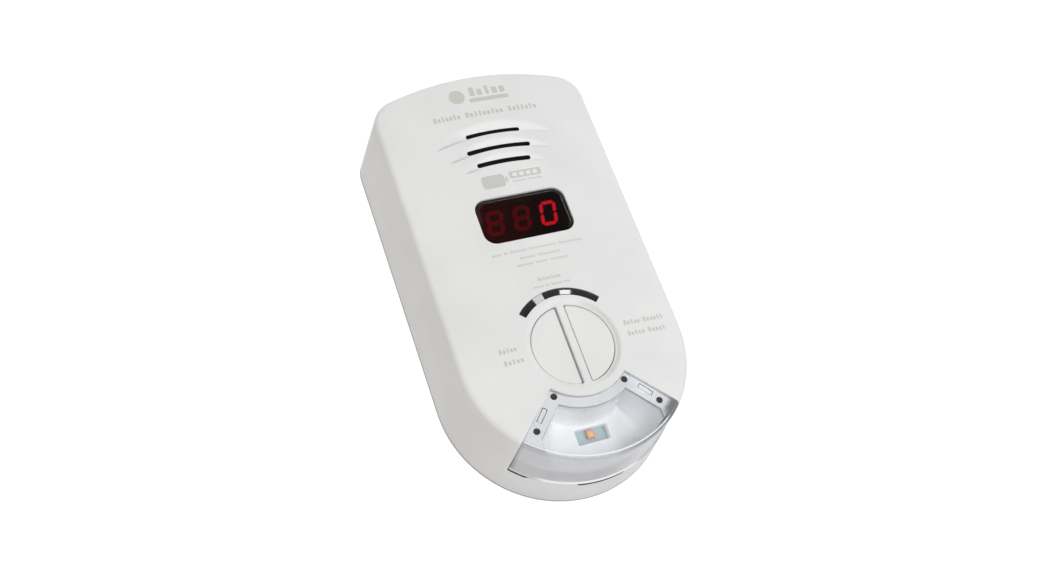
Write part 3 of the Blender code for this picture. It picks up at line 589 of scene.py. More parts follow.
def face_sheet(rim):
    """The outer face, whose edge drops a little along the notch."""
    boundary = face_boundary(rim, HALF_WIDTH - EDGE_ROUND)
    sheet = Sheet(boundary)
    sheet.line(boundary)
    for i in (0, *range(len(rim) - 1, len(boundary))):
        sheet.drops[i] = SOFT
    guard = full_outline(-EDGE_ROUND - 0.3 * MM)
    sheet.line(guard[NOTCH_COLUMN + 1 : len(guard) - NOTCH_COLUMN], closed=False)
    for side in (-1, 1):
        start = HALF_WIDTH - EDGE_ROUND - 0.4 * MM
        sheet.line(notch_line(start, side, NOTCH_SHOULDER, NOTCH_INNER - SOFT), closed=False)
    sheet.line(notch_arc(NOTCH_INNER - SOFT, NOTCH_SHOULDER)[1:-1], closed=False)
    face_holes(sheet, 1)
    for crease_mm, reach, *_ in LOUVRES:
        for shift in (-CREASE_HALF, 0.0, CREASE_HALF):
            sheet.line(arc(CENTRE, crease_mm * MM + shift, 90 - reach, 90 + reach, 60), closed=False)
    add_face_dots(sheet)
    return sheet


def make_front_cover(material, gap_shade_material):
    """A hollow shell: face, rolled edge, flared wall, and the notch that the lens fills."""
    solid = Solid()
    rolled = [skin_ring(degrees) for degrees in range(0, 91, 10)]
    sheet = face_sheet(above_notch(rolled[-1]))
    solid.add(*sheet.build(face_y))
    solid.strip(*map(above_notch, rolled), closed=False)

    start, notch_end, inner_notch = rolled[0], notch_end_ring(), notch_end_ring(WALL)
    wall_rows = [between(start, notch_end, share) for share in (0.0, 0.25, 0.5, 0.75, 1.0)]
    for lower, upper in zip(wall_rows, wall_rows[1:]):
        solid.strip(above_notch(upper), above_notch(lower), closed=False)
    lip = 0.25 * MM
    lip_rows = [notch_end, wall_ring(-9 * MM), wall_ring(SEAM_Y - lip)]
    lip_rows += [wall_ring(SEAM_Y - drop, beyond) for beyond, drop in roll_steps(lip)[1:]]
    solid.strip(*lip_rows, wall_ring(SEAM_Y, WALL), inner_notch)

    inner_rim = lifted(full_outline(-WALL), inner_y)
    solid.strip(above_notch(inner_notch), above_notch(inner_rim), closed=False)
    outer_edge, inner_edge = below_notch(notch_end), below_notch(inner_notch)
    # The faces cut back at the prying gaps take the black second material: painted shade in the gaps.
    for i in range(len(outer_edge) - 1):
        in_gap = min(outer_edge[i][1], outer_edge[i + 1][1]) > NOTCH_END_Y + 0.3 * MM
        solid.strip(outer_edge[i : i + 2], inner_edge[i : i + 2], closed=False, slot=int(in_gap))
    inner_boundary = face_boundary(above_notch(inner_rim), HALF_WIDTH - WALL)
    inner = Sheet(inner_boundary)
    inner.line(inner_boundary)
    face_holes(inner, 0)
    inner.dots(grid_dots(40, 80, 2.0))
    solid.add(*inner.build(inner_y))

    # The grille slots' walls take the black second material: painted shade in the slots.
    for number, outline in enumerate(sheet.holes):
        drop = sheet.drops[sheet.points.index(outline[0])]
        is_slot = 2 <= number < 2 + len(SLOTS)
        solid.strip(lifted(outline, face_y, drop), lifted(outline, inner_y), slot=int(is_slot))
    solid.strip(lifted(notch_arc(), face_y, SOFT), lifted(notch_arc(), inner_y), closed=False)
    for side in (-1, 1):
        i = NOTCH_COLUMN if side > 0 else len(start) - NOTCH_COLUMN
        edge = [row[i] for row in (*reversed(wall_rows), *rolled[1:])]
        edge += lifted(notch_line(HALF_WIDTH - EDGE_ROUND, side)[1:], face_y, SOFT)
        edge += lifted(reversed(notch_line(HALF_WIDTH - WALL, side)), inner_y)
        solid.add([*edge, inner_notch[i]])
    cover = solid.piece("front_shell", [material, gap_shade_material], "housing", ["front_cover"], "shell")
    mark_painted_light(cover.data)


def mark_painted_light(mesh):
    """Writes where the material paints light: a painted highlight in the grille's hollows, painted shade
    along the creases and on the dish's slope.
    """
    hollow = mesh.attributes.new("hollow", "FLOAT", "POINT").data
    crease = mesh.attributes.new("crease", "FLOAT", "POINT").data
    for vertex, highlight_value, crease_shade_value in zip(mesh.vertices, hollow, crease):
        x, y, z = vertex.co
        radius, angle = polar(x, z)
        if abs(y - face_y(x, z)) > 0.2 * MM:
            continue
        # Painted highlight: the grille's hollows are painted lighter, fading out towards their left tips.
        highlight_value.value = ease(louvre_depth(radius, angle) / HOLLOW_HIGHLIGHT_DEPTH) * ease((angle + 11.0) / 6.0)
        # Painted shade: dark lines along the creases beyond the slots' ends, weaker on the right.
        marks = [0.0]
        for (crease_mm, reach, *_), (_, slot_reach) in zip(LOUVRES, SLOTS):
            line = max(0.0, 1 - abs(radius - crease_mm * MM) / (1.6 * CREASE_HALF))
            span = ease((abs(angle) - slot_reach) / 1.5) * ease((reach - abs(angle)) / 2.5)
            marks.append(line * (0.5 if angle > 0 else 1.0) * span)
        # Painted shade: a soft dark ring on the dish's slope, right of the buttons.
        turn = math.degrees(math.atan2(z - BUTTON_Z, x))
        ring = max(0.0, 1 - abs(radius - SHADE_RADIUS) / SHADE_HALF)
        marks.append(0.19 * ring * ease((turn + 80.0) / 30.0) * ease((70.0 - turn) / 30.0))
        crease_shade_value.value = max(marks)


# --- Display -------------------------------------------------------------------------------

DIGIT_HEIGHT = 10.1 * MM
DIGIT_WIDTH = 6.5 * MM
DIGIT_CENTRES = (-10.9 * MM, -0.4 * MM, 10.1 * MM)
DIGIT_Z = WINDOW_Z + 0.35 * MM
DIGIT_LEAN = 0.19
LIT_WIDTH, LIT_GAP = 1.35 * MM, 0.10 * MM
DIM_WIDTH, DIM_GAP = 1.75 * MM, 0.02 * MM
ZERO = "abcdef"

PANE_GAP = 0.12 * MM  # between the pane and its opening
PANE_SINK = 0.12 * MM  # how far the pane lies below the face
PANE_EDGE_STEPS = (0.5, 0.9, 1.0, 1.15, 1.3, 1.45, 1.6, 1.8, 2.0)  # mm in from the pane's outline
PANE_EDGE_SLOPES = (1.11, 0.55)  # how fast it steepens towards the outline, and its steepest


def make_window(material):
    """The dark pane, which bends away from the face at its upper and right edges."""
    half_x, half_z, corner = (size - PANE_GAP for size in (*WINDOW_HALF, WINDOW_CORNER))

    def pane(inset):
        return rounded_rectangle(half_x - inset, half_z - inset, corner - inset, 0.0, WINDOW_Z, 12)

    def height(x, z):
        over_x, over_z = abs(x) - half_x + corner, abs(z - WINDOW_Z) - half_z + corner
        beyond = math.hypot(max(over_x, 0.0), max(over_z, 0.0)) + min(max(over_x, over_z), 0.0)
        width = PANE_EDGE_STEPS[-1] * MM
        reach = max(0.0, width - (corner - beyond))
        rate, steepest = PANE_EDGE_SLOPES
        bend = min(reach, steepest / rate * width)
        sink = rate * bend**2 / (2 * width) + steepest * (reach - bend)
        upper_right = ease((x / half_x + 1.4 * (z - WINDOW_Z) / half_z + 0.9) / 1.2)
        return skin_y(x, z) + PANE_SINK + upper_right * sink

    outline = pane(0.0)
    front, back = Sheet(outline), Sheet(outline)
    for inset in (0.0, *PANE_EDGE_STEPS, 2.2):
        front.line(pane(inset * MM))
    front.dots(grid_dots(14, 6, 1.0, WINDOW_Z))
    back.rim()
    solid = Solid()
    solid.add(*front.build(height))
    solid.add(*back.build(level(WINDOW_HIGH.y)))
    solid.strip(lifted(outline, height), lifted(outline, WINDOW_HIGH.y))
    solid.piece("display_filter", [material], "housing", ["display_window"], "window")


def segment_shapes(width, gap):
    """The seven bars of a digit about its centre, each a hexagon, by their usual letters."""
    half = (DIGIT_HEIGHT - LIT_WIDTH) / 2
    reach = (DIGIT_WIDTH - LIT_WIDTH) / 2
    tip = width / 2

    def across(z):
        end = reach - gap
        flat = end - tip
        return [(-end, z), (-flat, z - tip), (flat, z - tip), (end, z), (flat, z + tip), (-flat, z + tip)]

    def upright(x, low, high):
        low, high = low + gap, high - gap
        right = [(x, low), (x + tip, low + tip), (x + tip, high - tip), (x, high)]
        return right + [(x - tip, high - tip), (x - tip, low + tip)]

    return {
        "a": across(half),
        "b": upright(reach, 0.0, half),
        "c": upright(reach, -half, 0.0),
        "d": across(-half),
        "e": upright(-reach, -half, 0.0),
        "f": upright(-reach, 0.0, half),
        "g": across(0.0),
    }


def make_digits(lit_material, dim_material):
    """Three digits on the front of the display module: a lit 0 after two unlit ones."""
    lit, dim = Solid(), Solid()
    front, back = level(MODULE_LOW.y - 0.08 * MM), level(MODULE_LOW.y + 0.05 * MM)
    for place, centre in enumerate(DIGIT_CENTRES):
        is_lit = place == 2
        shapes = segment_shapes(LIT_WIDTH, LIT_GAP) if is_lit else segment_shapes(DIM_WIDTH, DIM_GAP)
        for letter, shape in shapes.items():
            outline = [(centre + x + DIGIT_LEAN * z, DIGIT_Z + z) for x, z in shape]
            if not is_lit or letter in ZERO:
                slab(lit if is_lit else dim, outline, front, back, 0.03 * MM)
    lit.piece("digit_bars_lit", [lit_material], "housing", slot="led_body")
    dim.piece("digit_bars_unlit", [dim_material], "housing", slot="led_body")


# --- Status lens and buttons ---------------------------------------------------------------

STATUS_RIDGE = STATUS_INNER + 1.85 * MM
STATUS_SLOPES = (0.40, 0.22)  # fall of the lens per mm inwards and outwards of its ridge
STATUS_BORDER = 0.44 * MM  # level strip along the inner edge
STATUS_GAP = 0.12 * MM  # between the lens and its opening

BOSS_X, BOSS_RADIUS = 7.5 * MM, 2.6 * MM
FLANGE_Y, FLANGE_BACK_Y = -35.9 * MM, -35.0 * MM
CAP_ROLL = 0.35 * MM
# Each cap's side, name, reach, straight edge's place, and slack: the left one has settled low
CAPS = (
    (-1, "left_button", 14.95 * MM, 1.85 * MM, 0.08 * MM),
    (1, "right_button", 14.9 * MM, 1.92 * MM, 0.0),
)


def status_front(x, z):
    """The status lens's front, which slopes away on both sides of a ridge."""
    away = max(polar(x, z)[0], STATUS_INNER + STATUS_BORDER) - STATUS_RIDGE
    return skin_y(x, z) + 0.03 * MM + (STATUS_SLOPES[1] * away if away > 0 else -STATUS_SLOPES[0] * away)


def make_status_lens(dark_material, clear_material):
    """The arc above the buttons: black, with one clear stretch over the green lamp."""
    clear_low, clear_high = 90.0 + STATUS_CLEAR[0], 90.0 + STATUS_CLEAR[1]
    end = STATUS_ANGLE - math.degrees(STATUS_GAP / STATUS_INNER)
    inner, outer = STATUS_INNER + STATUS_GAP, STATUS_OUTER - STATUS_GAP
    seam = math.degrees(0.03 * MM / inner)
    stretches = (
        ("status_arc_right", 90.0 - end, clear_low - seam, dark_material, "smoked_lens"),
        ("status_arc_left", clear_high + seam, 90.0 + end, dark_material, "smoked_lens"),
        ("status_arc_clear", clear_low, clear_high, clear_material, "clear_lens"),
    )
    for name, low, high, material, slot in stretches:
        solid = Solid()
        corner = 0.12 * MM if slot == "clear_lens" else 0.25 * MM
        steps = max(6, int((high - low) / 1.5))
        outline = ring_sector(inner, outer, low, high, corner, 0.0, steps)
        ridge = []
        for radius in (STATUS_RIDGE, STATUS_INNER + STATUS_BORDER):
            ridge += arc(CENTRE, radius, low + 0.6, high - 0.6, 3 * steps)
        slab(solid, outline, status_front, level(STATUS_HIGH.y), 0.08 * MM, dots=ridge)
        replaced = ["status_lens"] if name == "status_arc_right" else []
        solid.piece(name, [material], "housing", replaced, slot, sharp=15.0)


def make_buttons(material):
    """Half-round caps with a flange behind the cover and a boss over each switch."""
    for side, name, reach, edge_x, slack in CAPS:
        cap = [(x - slack, z - slack) for x, z in half_disc(reach, edge_x, 0.65 * MM, side)]
        flange = half_disc(16.2 * MM, 0.4 * MM, 1.2 * MM, side)
        boss = circle((side * BOSS_X, BUTTON_Z), BOSS_RADIUS, 32)

        def dished(x, z, middle=side * BOSS_X):
            away = math.hypot(x - middle, (z - BUTTON_Z) * 0.55)
            return BUTTON_LOW.y + 0.12 * MM * math.exp(-((away / (6.0 * MM)) ** 2))

        front, back = Sheet(cap), Sheet(flange)
        front.rim(CAP_ROLL)
        front.dots(grid_dots(15, 15, 1.0, BUTTON_Z))
        back.rim()
        back.cut(boss)
        solid = Solid()
        solid.add(*front.build(dished))
        solid.strip(lifted(cap, dished, CAP_ROLL), lifted(cap, FLANGE_Y))
        solid.strip(lifted(cap, FLANGE_Y), lifted(flange, FLANGE_Y), lifted(flange, FLANGE_BACK_Y))
        solid.add(*back.build(level(FLANGE_BACK_Y)))
        solid.strip(lifted(boss, FLANGE_BACK_Y), lifted(boss, BUTTON_HIGH.y))
        solid.add(lifted(boss, BUTTON_HIGH.y))
        solid.piece(name + "_cap", [material], name, [name], "button")


# --- Night light ---------------------------------------------------------------------------

TRAY_INSET = 1.7 * MM  # how far the frame lies behind the face
TRAY_RIM_INSET = 1.95 * MM
TRAY_ANGLE = 44.7
TRAY_INNER = 20.0 * MM
TRAY_FRONT_Y = TRAY_INSET - DEPTH
TRAY_LIP = 0.1 * MM  # roll of the frame's edges
BASIN_INNER = 23.5 * MM
BASIN_ANGLE = 32.5
BASIN_SIDE_X = 22.5 * MM
BASIN_SIDE_DROP = 30.2 * MM
BASIN_TAPER = 2.2 * MM  # how far the floor lies inside the mouth at the inner arc
BASIN_SIDE_TAPER = 3.4  # how many times that at the sides
MOUTH_LINE = 0.05  # share of the taper taken by the darker line round the mouth, which is painted shade
BASIN_FLOOR_Y = TRAY_HIGH.y - 2.8 * MM
LED_WINDOW_HALF = (6.15 * MM, 2.8 * MM)
LED_WINDOW_Z = BUTTON_Z - 29.35 * MM
PIN_PLACES = ((13.3 * MM, -16.85 * MM), (23.05 * MM, -27.1 * MM))
PIN_RADIUS = 1.15 * MM
PIN_LIP = 0.05 * MM
PIN_HOLE_DEPTH = 6.6 * MM
CLIP_RADII = (26.7 * MM, 32.4 * MM)
CLIP_ANGLES = (39.4, 43.1)


def lens_stations():
    """(radius, y, share of the crown, normal's radial part, normal's y part), inner edge to rim."""
    flat = HALF_WIDTH - EDGE_ROUND
    radii = [LENS_INNER, LENS_INNER + SOFT, *np.linspace(LENS_INNER + 0.6 * MM, flat, 24)]
    stations = [(r, -DEPTH, 1.0, 0.0, -1.0) for r in radii]
    for degrees in range(80, -1, -10):
        turn = math.radians(degrees)
        y = EDGE_ROUND * (1 - math.sin(turn)) - DEPTH
        radius = HALF_WIDTH + flare(y) - EDGE_ROUND * (1 - math.cos(turn))
        stations.append((radius, y, 1.0, math.cos(turn), -math.sin(turn)))
    start, end = stations[-1][1], LENS_HIGH.y
    for y in (*np.linspace(start, end - LENS_LIP, 17)[1:], end - 0.4 * LENS_LIP, end - SOFT, end):
        sink = LENS_SINK * ease((y - start) / (8 * MM)) if y < end - 0.9 * LENS_LIP else 0.0
        stations.append((HALF_WIDTH + flare(y) - sink, y, (end - y) / (end - start), 1.0, 0.0))
    return stations


def lens_point(station, degrees, inset=0.0):
    radius, y, share, radial, forward = station
    turn = math.radians(degrees)
    reach = radius - inset * radial
    x = reach * math.sin(turn)
    return (x, y - inset * forward + crown(x) * share, LOWER_ARC_Z - reach * math.cos(turn))


def make_lens(outer_material, inner_material):
    """A bent clear shell: its face, rolled edge and wall, swept about the lower arc's centre."""
    stations = lens_stations()
    shoulder = LENS_ANGLE - 0.35
    columns = [-LENS_ANGLE, *np.linspace(-shoulder, shoulder, 73), LENS_ANGLE]
    outer, inner = [], []
    for i, station in enumerate(stations):
        row = []
        for k, degrees in enumerate(columns):
            edge = i in (0, len(stations) - 1) or k in (0, len(columns) - 1)
            row.append(lens_point(station, degrees, SOFT if edge else 0.0))
        outer.append(row)
        inner.append([lens_point(station, degrees, LENS_WALL) for degrees in columns])
    solid = Solid()
    solid.strip(*outer, closed=False)
    solid.strip(*inner, closed=False, slot=1)
    for i in (0, -1):
        solid.strip(outer[i], inner[i], closed=False, slot=1)
        solid.strip([row[i] for row in outer], [row[i] for row in inner], closed=False, slot=1)
    materials = [outer_material, inner_material]
    solid.piece("night_light_cover", materials, "housing", ["night_light_lens"], "clear_lens")


def tray_radius(y):
    return HALF_WIDTH + flare(y) - TRAY_RIM_INSET


def tray_rim(y, low, high, steps):
    """The tray's outer edge at a height, degrees from straight down."""
    return arc(LOWER_CENTRE, tray_radius(y), low - 90.0, high - 90.0, steps)


def rim_angle(x, y):
    """Degrees from straight down of the tray's rim at a place across the body."""
    return math.degrees(math.asin(x / tray_radius(y)))


def basin_mouth(shrink, y):
    """The reflector's edge from its right end at the rim, over the inner arc, to its left end."""
    side_x = BASIN_SIDE_X - BASIN_SIDE_TAPER * shrink
    end_z = LOWER_ARC_Z - math.sqrt(tray_radius(y) ** 2 - side_x**2)
    squeeze = 1 - shrink / (20 * MM)
    curve = arc(CENTRE, BASIN_INNER + shrink, BASIN_ANGLE - 90.0, -BASIN_ANGLE - 90.0, 40)
    curve = [(x * squeeze, z) for x, z in curve]
    corner = (side_x, BUTTON_Z - BASIN_SIDE_DROP)
    slope = [between([corner], curve[:1], k / 8)[0] for k in range(1, 8)]
    right = [(side_x, end_z), corner, *slope]
    return right + curve + mirrored(right)


def tray_side(side, y):
    """One straight flank of the tray, from its rim to its inner arc."""
    turn = math.radians(TRAY_ANGLE)
    rim = tray_rim(y, TRAY_ANGLE, TRAY_ANGLE, 1)
    end = (TRAY_INNER * math.sin(turn), BUTTON_Z - TRAY_INNER * math.cos(turn))
    return [(side * x, z) for k in range(21) for x, z in between(rim[:1], [end], k / 20)]


def tray_sector(y, rim):
    """The tray's outline: its two flanks and inner arc, closed by the rim's points."""
    inner = arc(CENTRE, TRAY_INNER, TRAY_ANGLE - 90.0, -TRAY_ANGLE - 90.0, 40)
    return tray_side(1, y) + inner[1:-1] + tray_side(-1, y)[::-1] + rim[1:-1]


def tray_top(x, z):
    return TRAY_INSET + skin_y(x, z)


def add_tray_frame(solid, rim, pins):
    """The frame's front, with a blind hole for each pin and each clip."""
    sheet = Sheet(tray_sector(TRAY_FRONT_Y, rim))
    sheet.rim(TRAY_LIP)
    holes = [circle(pin, PIN_RADIUS + PIN_LIP, 24) for pin in pins]
    holes += [clip_outline(side, 0.0) for side in (-1, 1)]
    for hole in holes:
        sheet.cut(hole, PIN_LIP, 0.04 * MM)
    sheet.dots(grid_dots(30, 15, 2.0, -65 * MM))
    solid.add(*sheet.build(tray_top))
    for hole in holes:
        # Painted shade: the holes' walls and floors take the dark second material, so the gaps round the
        # pins and clips look dark.
        bottom = lifted(hole, tray_top, PIN_HOLE_DEPTH)
        solid.strip(lifted(hole, tray_top, PIN_LIP), bottom, slot=1)
        solid.add(bottom, slot=1)


def clip_outline(side, inset):
    """A snap hook's opening in the frame, or the hook in it where there is an inset."""
    middle_radius = (CLIP_RADII[0] + CLIP_RADII[1]) / 2
    middle = math.radians((CLIP_ANGLES[0] + CLIP_ANGLES[1]) / 2)
    half_long = (CLIP_RADII[1] - CLIP_RADII[0]) / 2 - inset
    half_wide = middle_radius * math.radians(CLIP_ANGLES[1] - CLIP_ANGLES[0]) / 2 - inset
    along = Vector((math.sin(middle), -math.cos(middle)))
    across = Vector((math.cos(middle), math.sin(middle)))
    outline = []
    for u, v in rounded_rectangle(half_wide, half_long, 0.3 * MM, 0.0, 0.0, 3):
        place = along * middle_radius + across * u + along * v
        outline.append((side * place.x, BUTTON_Z + place.y))
    return outline


def make_clips(material):
    """The two hooks that snap into the frame."""
    for side, name in ((-1, "frame_clip_left"), (1, "frame_clip_right")):
        solid = Solid()
        hook = clip_outline(side, 0.2 * MM)
        front, back = (lambda x, z, d=depth: tray_top(x, z) + d * MM for depth in (0.1, 4.5))
        slab(solid, hook, front, back, 0.08 * MM)
        solid.piece(name, [material], "housing", slot="reflector")


def scoop_rows(mouth):
    """The reflector's side, from its mouth down to its floor."""
    foot = basin_mouth(BASIN_TAPER, BASIN_FLOOR_Y)
    rows = []
    for share in (0.0, MOUTH_LINE, *np.linspace(0.08, 1.0, 12)):
        row = []
        for (x0, z0), (x1, z1) in zip(mouth, foot):
            lip = tray_top(x0, z0) + TRAY_LIP
            y = lip + (BASIN_FLOOR_Y - lip) * math.sin(share * math.pi / 2)
            row.append((x0 + (x1 - x0) * share, y, z0 + (z1 - z0) * share))
        rows.append(row)
    return rows


def make_tray(material, pin_and_gap_shade, mouth_shade_material):
    """The white frame with its pins, and the scoop behind the lens that throws the light out."""
    back_y = TRAY_HIGH.y
    mouth = basin_mouth(0.0, TRAY_FRONT_Y)
    wing = tray_rim(TRAY_FRONT_Y, -TRAY_ANGLE, -rim_angle(mouth[0][0], TRAY_FRONT_Y), 8)
    other_wing = mirrored(wing)
    pins = [(side * x, BUTTON_Z + drop) for x, drop in PIN_PLACES for side in (-1, 1)]
    solid = Solid()
    add_tray_frame(solid, wing + mouth[::-1][1:-1] + other_wing, pins)
    rows = scoop_rows(mouth)
    # Painted shade: the first strip round the mouth takes the grey third material.
    solid.strip(*rows[:2], closed=False, slot=2)
    solid.strip(*rows[1:], closed=False)

    floor_edge = [(x, z) for x, _, z in rows[-1]]
    reach = rim_angle(floor_edge[0][0], BASIN_FLOOR_Y)
    floor_rim = tray_rim(BASIN_FLOOR_Y, -reach, reach, 40)
    floor = Sheet(floor_edge + floor_rim[1:-1])
    floor.rim()
    led_hole = rounded_rectangle(*LED_WINDOW_HALF, 0.25 * MM, 0.0, LED_WINDOW_Z, 4)
    led_lip = 0.12 * MM
    floor.cut(led_hole, led_lip, 0.15 * MM)
    solid.add(*floor.build(level(BASIN_FLOOR_Y)))
    solid.strip(lifted(led_hole, BASIN_FLOOR_Y + led_lip), lifted(led_hole, back_y))

    skirt = lifted(wing, tray_top, TRAY_LIP) + [row[-1] for row in rows[1:]]
    skirt += lifted(floor_rim[1:], BASIN_FLOOR_Y) + [row[0] for row in rows[-2::-1]]
    skirt += lifted(other_wing[1:], tray_top, TRAY_LIP)
    hem = []
    for x, _, z in skirt:
        degrees = math.degrees(math.atan2(x, LOWER_ARC_Z - z))
        hem.append(tray_rim(back_y, degrees, degrees, 1)[0])
    back_outline = tray_sector(back_y, hem)
    back = Sheet(back_outline)
    back.rim()
    back.cut(led_hole)
    solid.add(*back.build(level(back_y)))
    solid.strip(skirt, lifted(hem, back_y), closed=False)
    flank_count = len(back_outline) - len(hem) + 2
    flank = lifted(tray_sector(TRAY_FRONT_Y, wing)[:flank_count], tray_top, TRAY_LIP)
    solid.strip(flank, lifted(back_outline[:flank_count], back_y), closed=False)
    materials = [material, pin_and_gap_shade, mouth_shade_material]
    solid.piece("reflector_tray", materials, "housing", ["light_tray"], "reflector", sharp=40.0)
    make_pins(pin_and_gap_shade, len(pins))
    make_clips(material)


def make_led(body_material, phosphor_material):
    """The night light's lamp: a moulded body with a square of phosphor let into it."""
    low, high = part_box("night_light_led")
    middle_z = (low.z + high.z) / 2
    outline = rounded_rectangle(high.x, (high.z - low.z) / 2, 0.2 * MM, 0.0, middle_z, 3)
    opening = rounded_rectangle(0.85 * MM, 0.85 * MM, 0.3 * MM, 0.0, middle_z - 0.15 * MM, 4)
    body, fill = Solid(), Solid()
    slab(body, outline, level(low.y), level(high.y), 0.08 * MM, holes=[opening])
    body.piece("lamp_body", [body_material], "housing", ["night_light_led"], "led_body")
    slab(fill, grown(opening, -0.01 * MM), level(low.y + 0.12 * MM), level(high.y - 0.1 * MM), 0.02 * MM)
    fill.piece("lamp_phosphor", [phosphor_material], "housing", slot="led_phosphor")


def make_pins(material, count):
    """Heat-staked pins that hold the tray, each with a dimpled end."""
    for number in range(1, count + 1):
        low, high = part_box(f"tray_pin_{number}")
        centre = ((low.x + high.x) / 2, (low.z + high.z) / 2)
        end = tray_top(*centre) - 0.25 * MM
        dimple = ((0.0, 0.25), (0.3, 0.22), (0.62, 0.0), (0.86, 0.04), (1.0, 0.2))  # share of radius, mm
        profile = [(PIN_RADIUS * share, end + depth * MM) for share, depth in dimple]
        rod = Solid()
        turned_profile(rod, centre, [*profile, (PIN_RADIUS, high.y), (0.0, high.y)], 32)
        rod.piece(f"frame_pin_{number}", [material], "housing", [f"tray_pin_{number}"], "dark_plastic")


# --- Back ----------------------------------------------------------------------------------

TONGUE_INSET = 2.5 * MM
TONGUE_WALL = 1.5 * MM
TONGUE_Y = REAR_LOW.y
PLATE_Y = TONGUE_Y + 3.2 * MM
CASE_SCREWS = ((-34 * MM, 60 * MM), (34 * MM, 60 * MM), (-34 * MM, -30 * MM), (34 * MM, -30 * MM))
SCREW_STEPS = ((3.2, -0.3), (3.2, -3.6), (1.7, -3.6), (1.7, -6.0), (4.5, -6.0), (4.5, PLATE_Y / MM))
BLADE_X, BLADE_Z = 6.35 * MM, 22 * MM
BLADE_SLOT_HALF = (0.96 * MM, 3.375 * MM)
PLUG_BASE_HALF = (12 * MM, 5 * MM)
PLUG_BASE_Y = -4.5 * MM
ROTOR_Z, ROTOR_HOLE = -12 * MM, 6.3 * MM
LABEL_HALF = (26 * MM, 20 * MM)
LABEL_Z = -42 * MM
LABEL_DEPTH = 0.7 * MM
VENTS = 5
VENT_HALF = (10 * MM, 0.8 * MM)
REAR_EDGE_Y = -1.5 * MM  # where the wall plate's darker edge starts, painted shade along the back edge
REAR_ROLL = 0.7 * MM
HOLE_LIP, HOLE_GUARD = 0.3 * MM, 0.1 * MM
SLOT_LIP = 0.2 * MM


def make_rear_cover(material, edge_shade_material):
    """The back plate: rolled edge, tongue inside the front cover, screw bosses and openings."""
    plate_flare = flare(PLATE_Y)
    tongue = full_outline(plate_flare - TONGUE_INSET - TONGUE_WALL)
    base = rounded_rectangle(*PLUG_BASE_HALF, 0.5 * MM, 0.0, BLADE_Z, 4)
    sheet, inner, top = Sheet(full_outline(FLARE)), Sheet(tongue), Sheet(base)
    sheet.rim(REAR_ROLL)
    inner.rim()
    top.rim()
    solid = Solid()
    holes = [rounded_rectangle(*VENT_HALF, 0.79 * MM, 0.0, (50 + 4 * k) * MM, 5) for k in range(VENTS)]
    for hole in (*holes, circle((0.0, ROTOR_Z), ROTOR_HOLE, 64)):
        sheet.cut(hole, HOLE_LIP, HOLE_GUARD)
        inner.cut(hole)
        solid.strip(lifted(hole, -HOLE_LIP), lifted(hole, PLATE_Y))
    for centre in CASE_SCREWS:
        sheet.cut(circle(centre, 3.2 * MM), HOLE_LIP, HOLE_GUARD)
        inner.cut(circle(centre, 4.5 * MM))
        turned_profile(solid, centre, [(r * MM, y * MM) for r, y in SCREW_STEPS], 40)
    inner.cut(base)
    solid.strip(lifted(base, PLATE_Y), lifted(base, PLUG_BASE_Y))
    for side in (-1, 1):
        slot = rounded_rectangle(*BLADE_SLOT_HALF, 0.2 * MM, side * BLADE_X, BLADE_Z, 3)
        sheet.cut(slot, SLOT_LIP, HOLE_GUARD)
        top.cut(slot)
        solid.strip(lifted(slot, -SLOT_LIP), lifted(slot, PLUG_BASE_Y))
    solid.add(*top.build(level(PLUG_BASE_Y)))
    recess = rounded_rectangle(*LABEL_HALF, 1.2 * MM, 0.0, LABEL_Z, 6)
    sheet.cut(recess, HOLE_LIP, HOLE_GUARD)
    solid.strip(lifted(recess, -HOLE_LIP), lifted(recess, -LABEL_DEPTH))
    solid.add(lifted(recess, -LABEL_DEPTH))
    solid.add(*sheet.build(level(0.0), -1.0))
    solid.add(*inner.build(level(PLATE_Y)))

    seam, bevel = 0.25 * MM, 0.05 * MM
    wall = [(plate_flare - seam, PLATE_Y), (plate_flare - bevel, PLATE_Y + 0.1 * MM)]
    wall += [(flare(PLATE_Y + seam), PLATE_Y + seam), (flare(REAR_EDGE_Y), REAR_EDGE_Y)]
    solid.strip(*(lifted(full_outline(offset), y) for offset, y in wall))
    # Painted shade: the strip from there round the back edge takes the dark grey second material.
    edge = [(flare(REAR_EDGE_Y), REAR_EDGE_Y), (FLARE, -REAR_ROLL)]
    solid.strip(*(lifted(full_outline(offset), y) for offset, y in edge), slot=1)
    steps = [(plate_flare - seam, PLATE_Y), (plate_flare - TONGUE_INSET, PLATE_Y)]
    steps.append((plate_flare - TONGUE_INSET, TONGUE_Y))
    steps += [(plate_flare - TONGUE_INSET - TONGUE_WALL, y) for y in (TONGUE_Y, PLATE_Y)]
    solid.strip(*(lifted(full_outline(offset), y) for offset, y in steps))
    solid.piece("rear_shell", [material, edge_shade_material], "housing", ["rear_cover"], "shell")


# --- Printing ------------------------------------------------------------------------------

LETTER_TALL = "1010010001100100101"  # which blocks of a word stand above the others
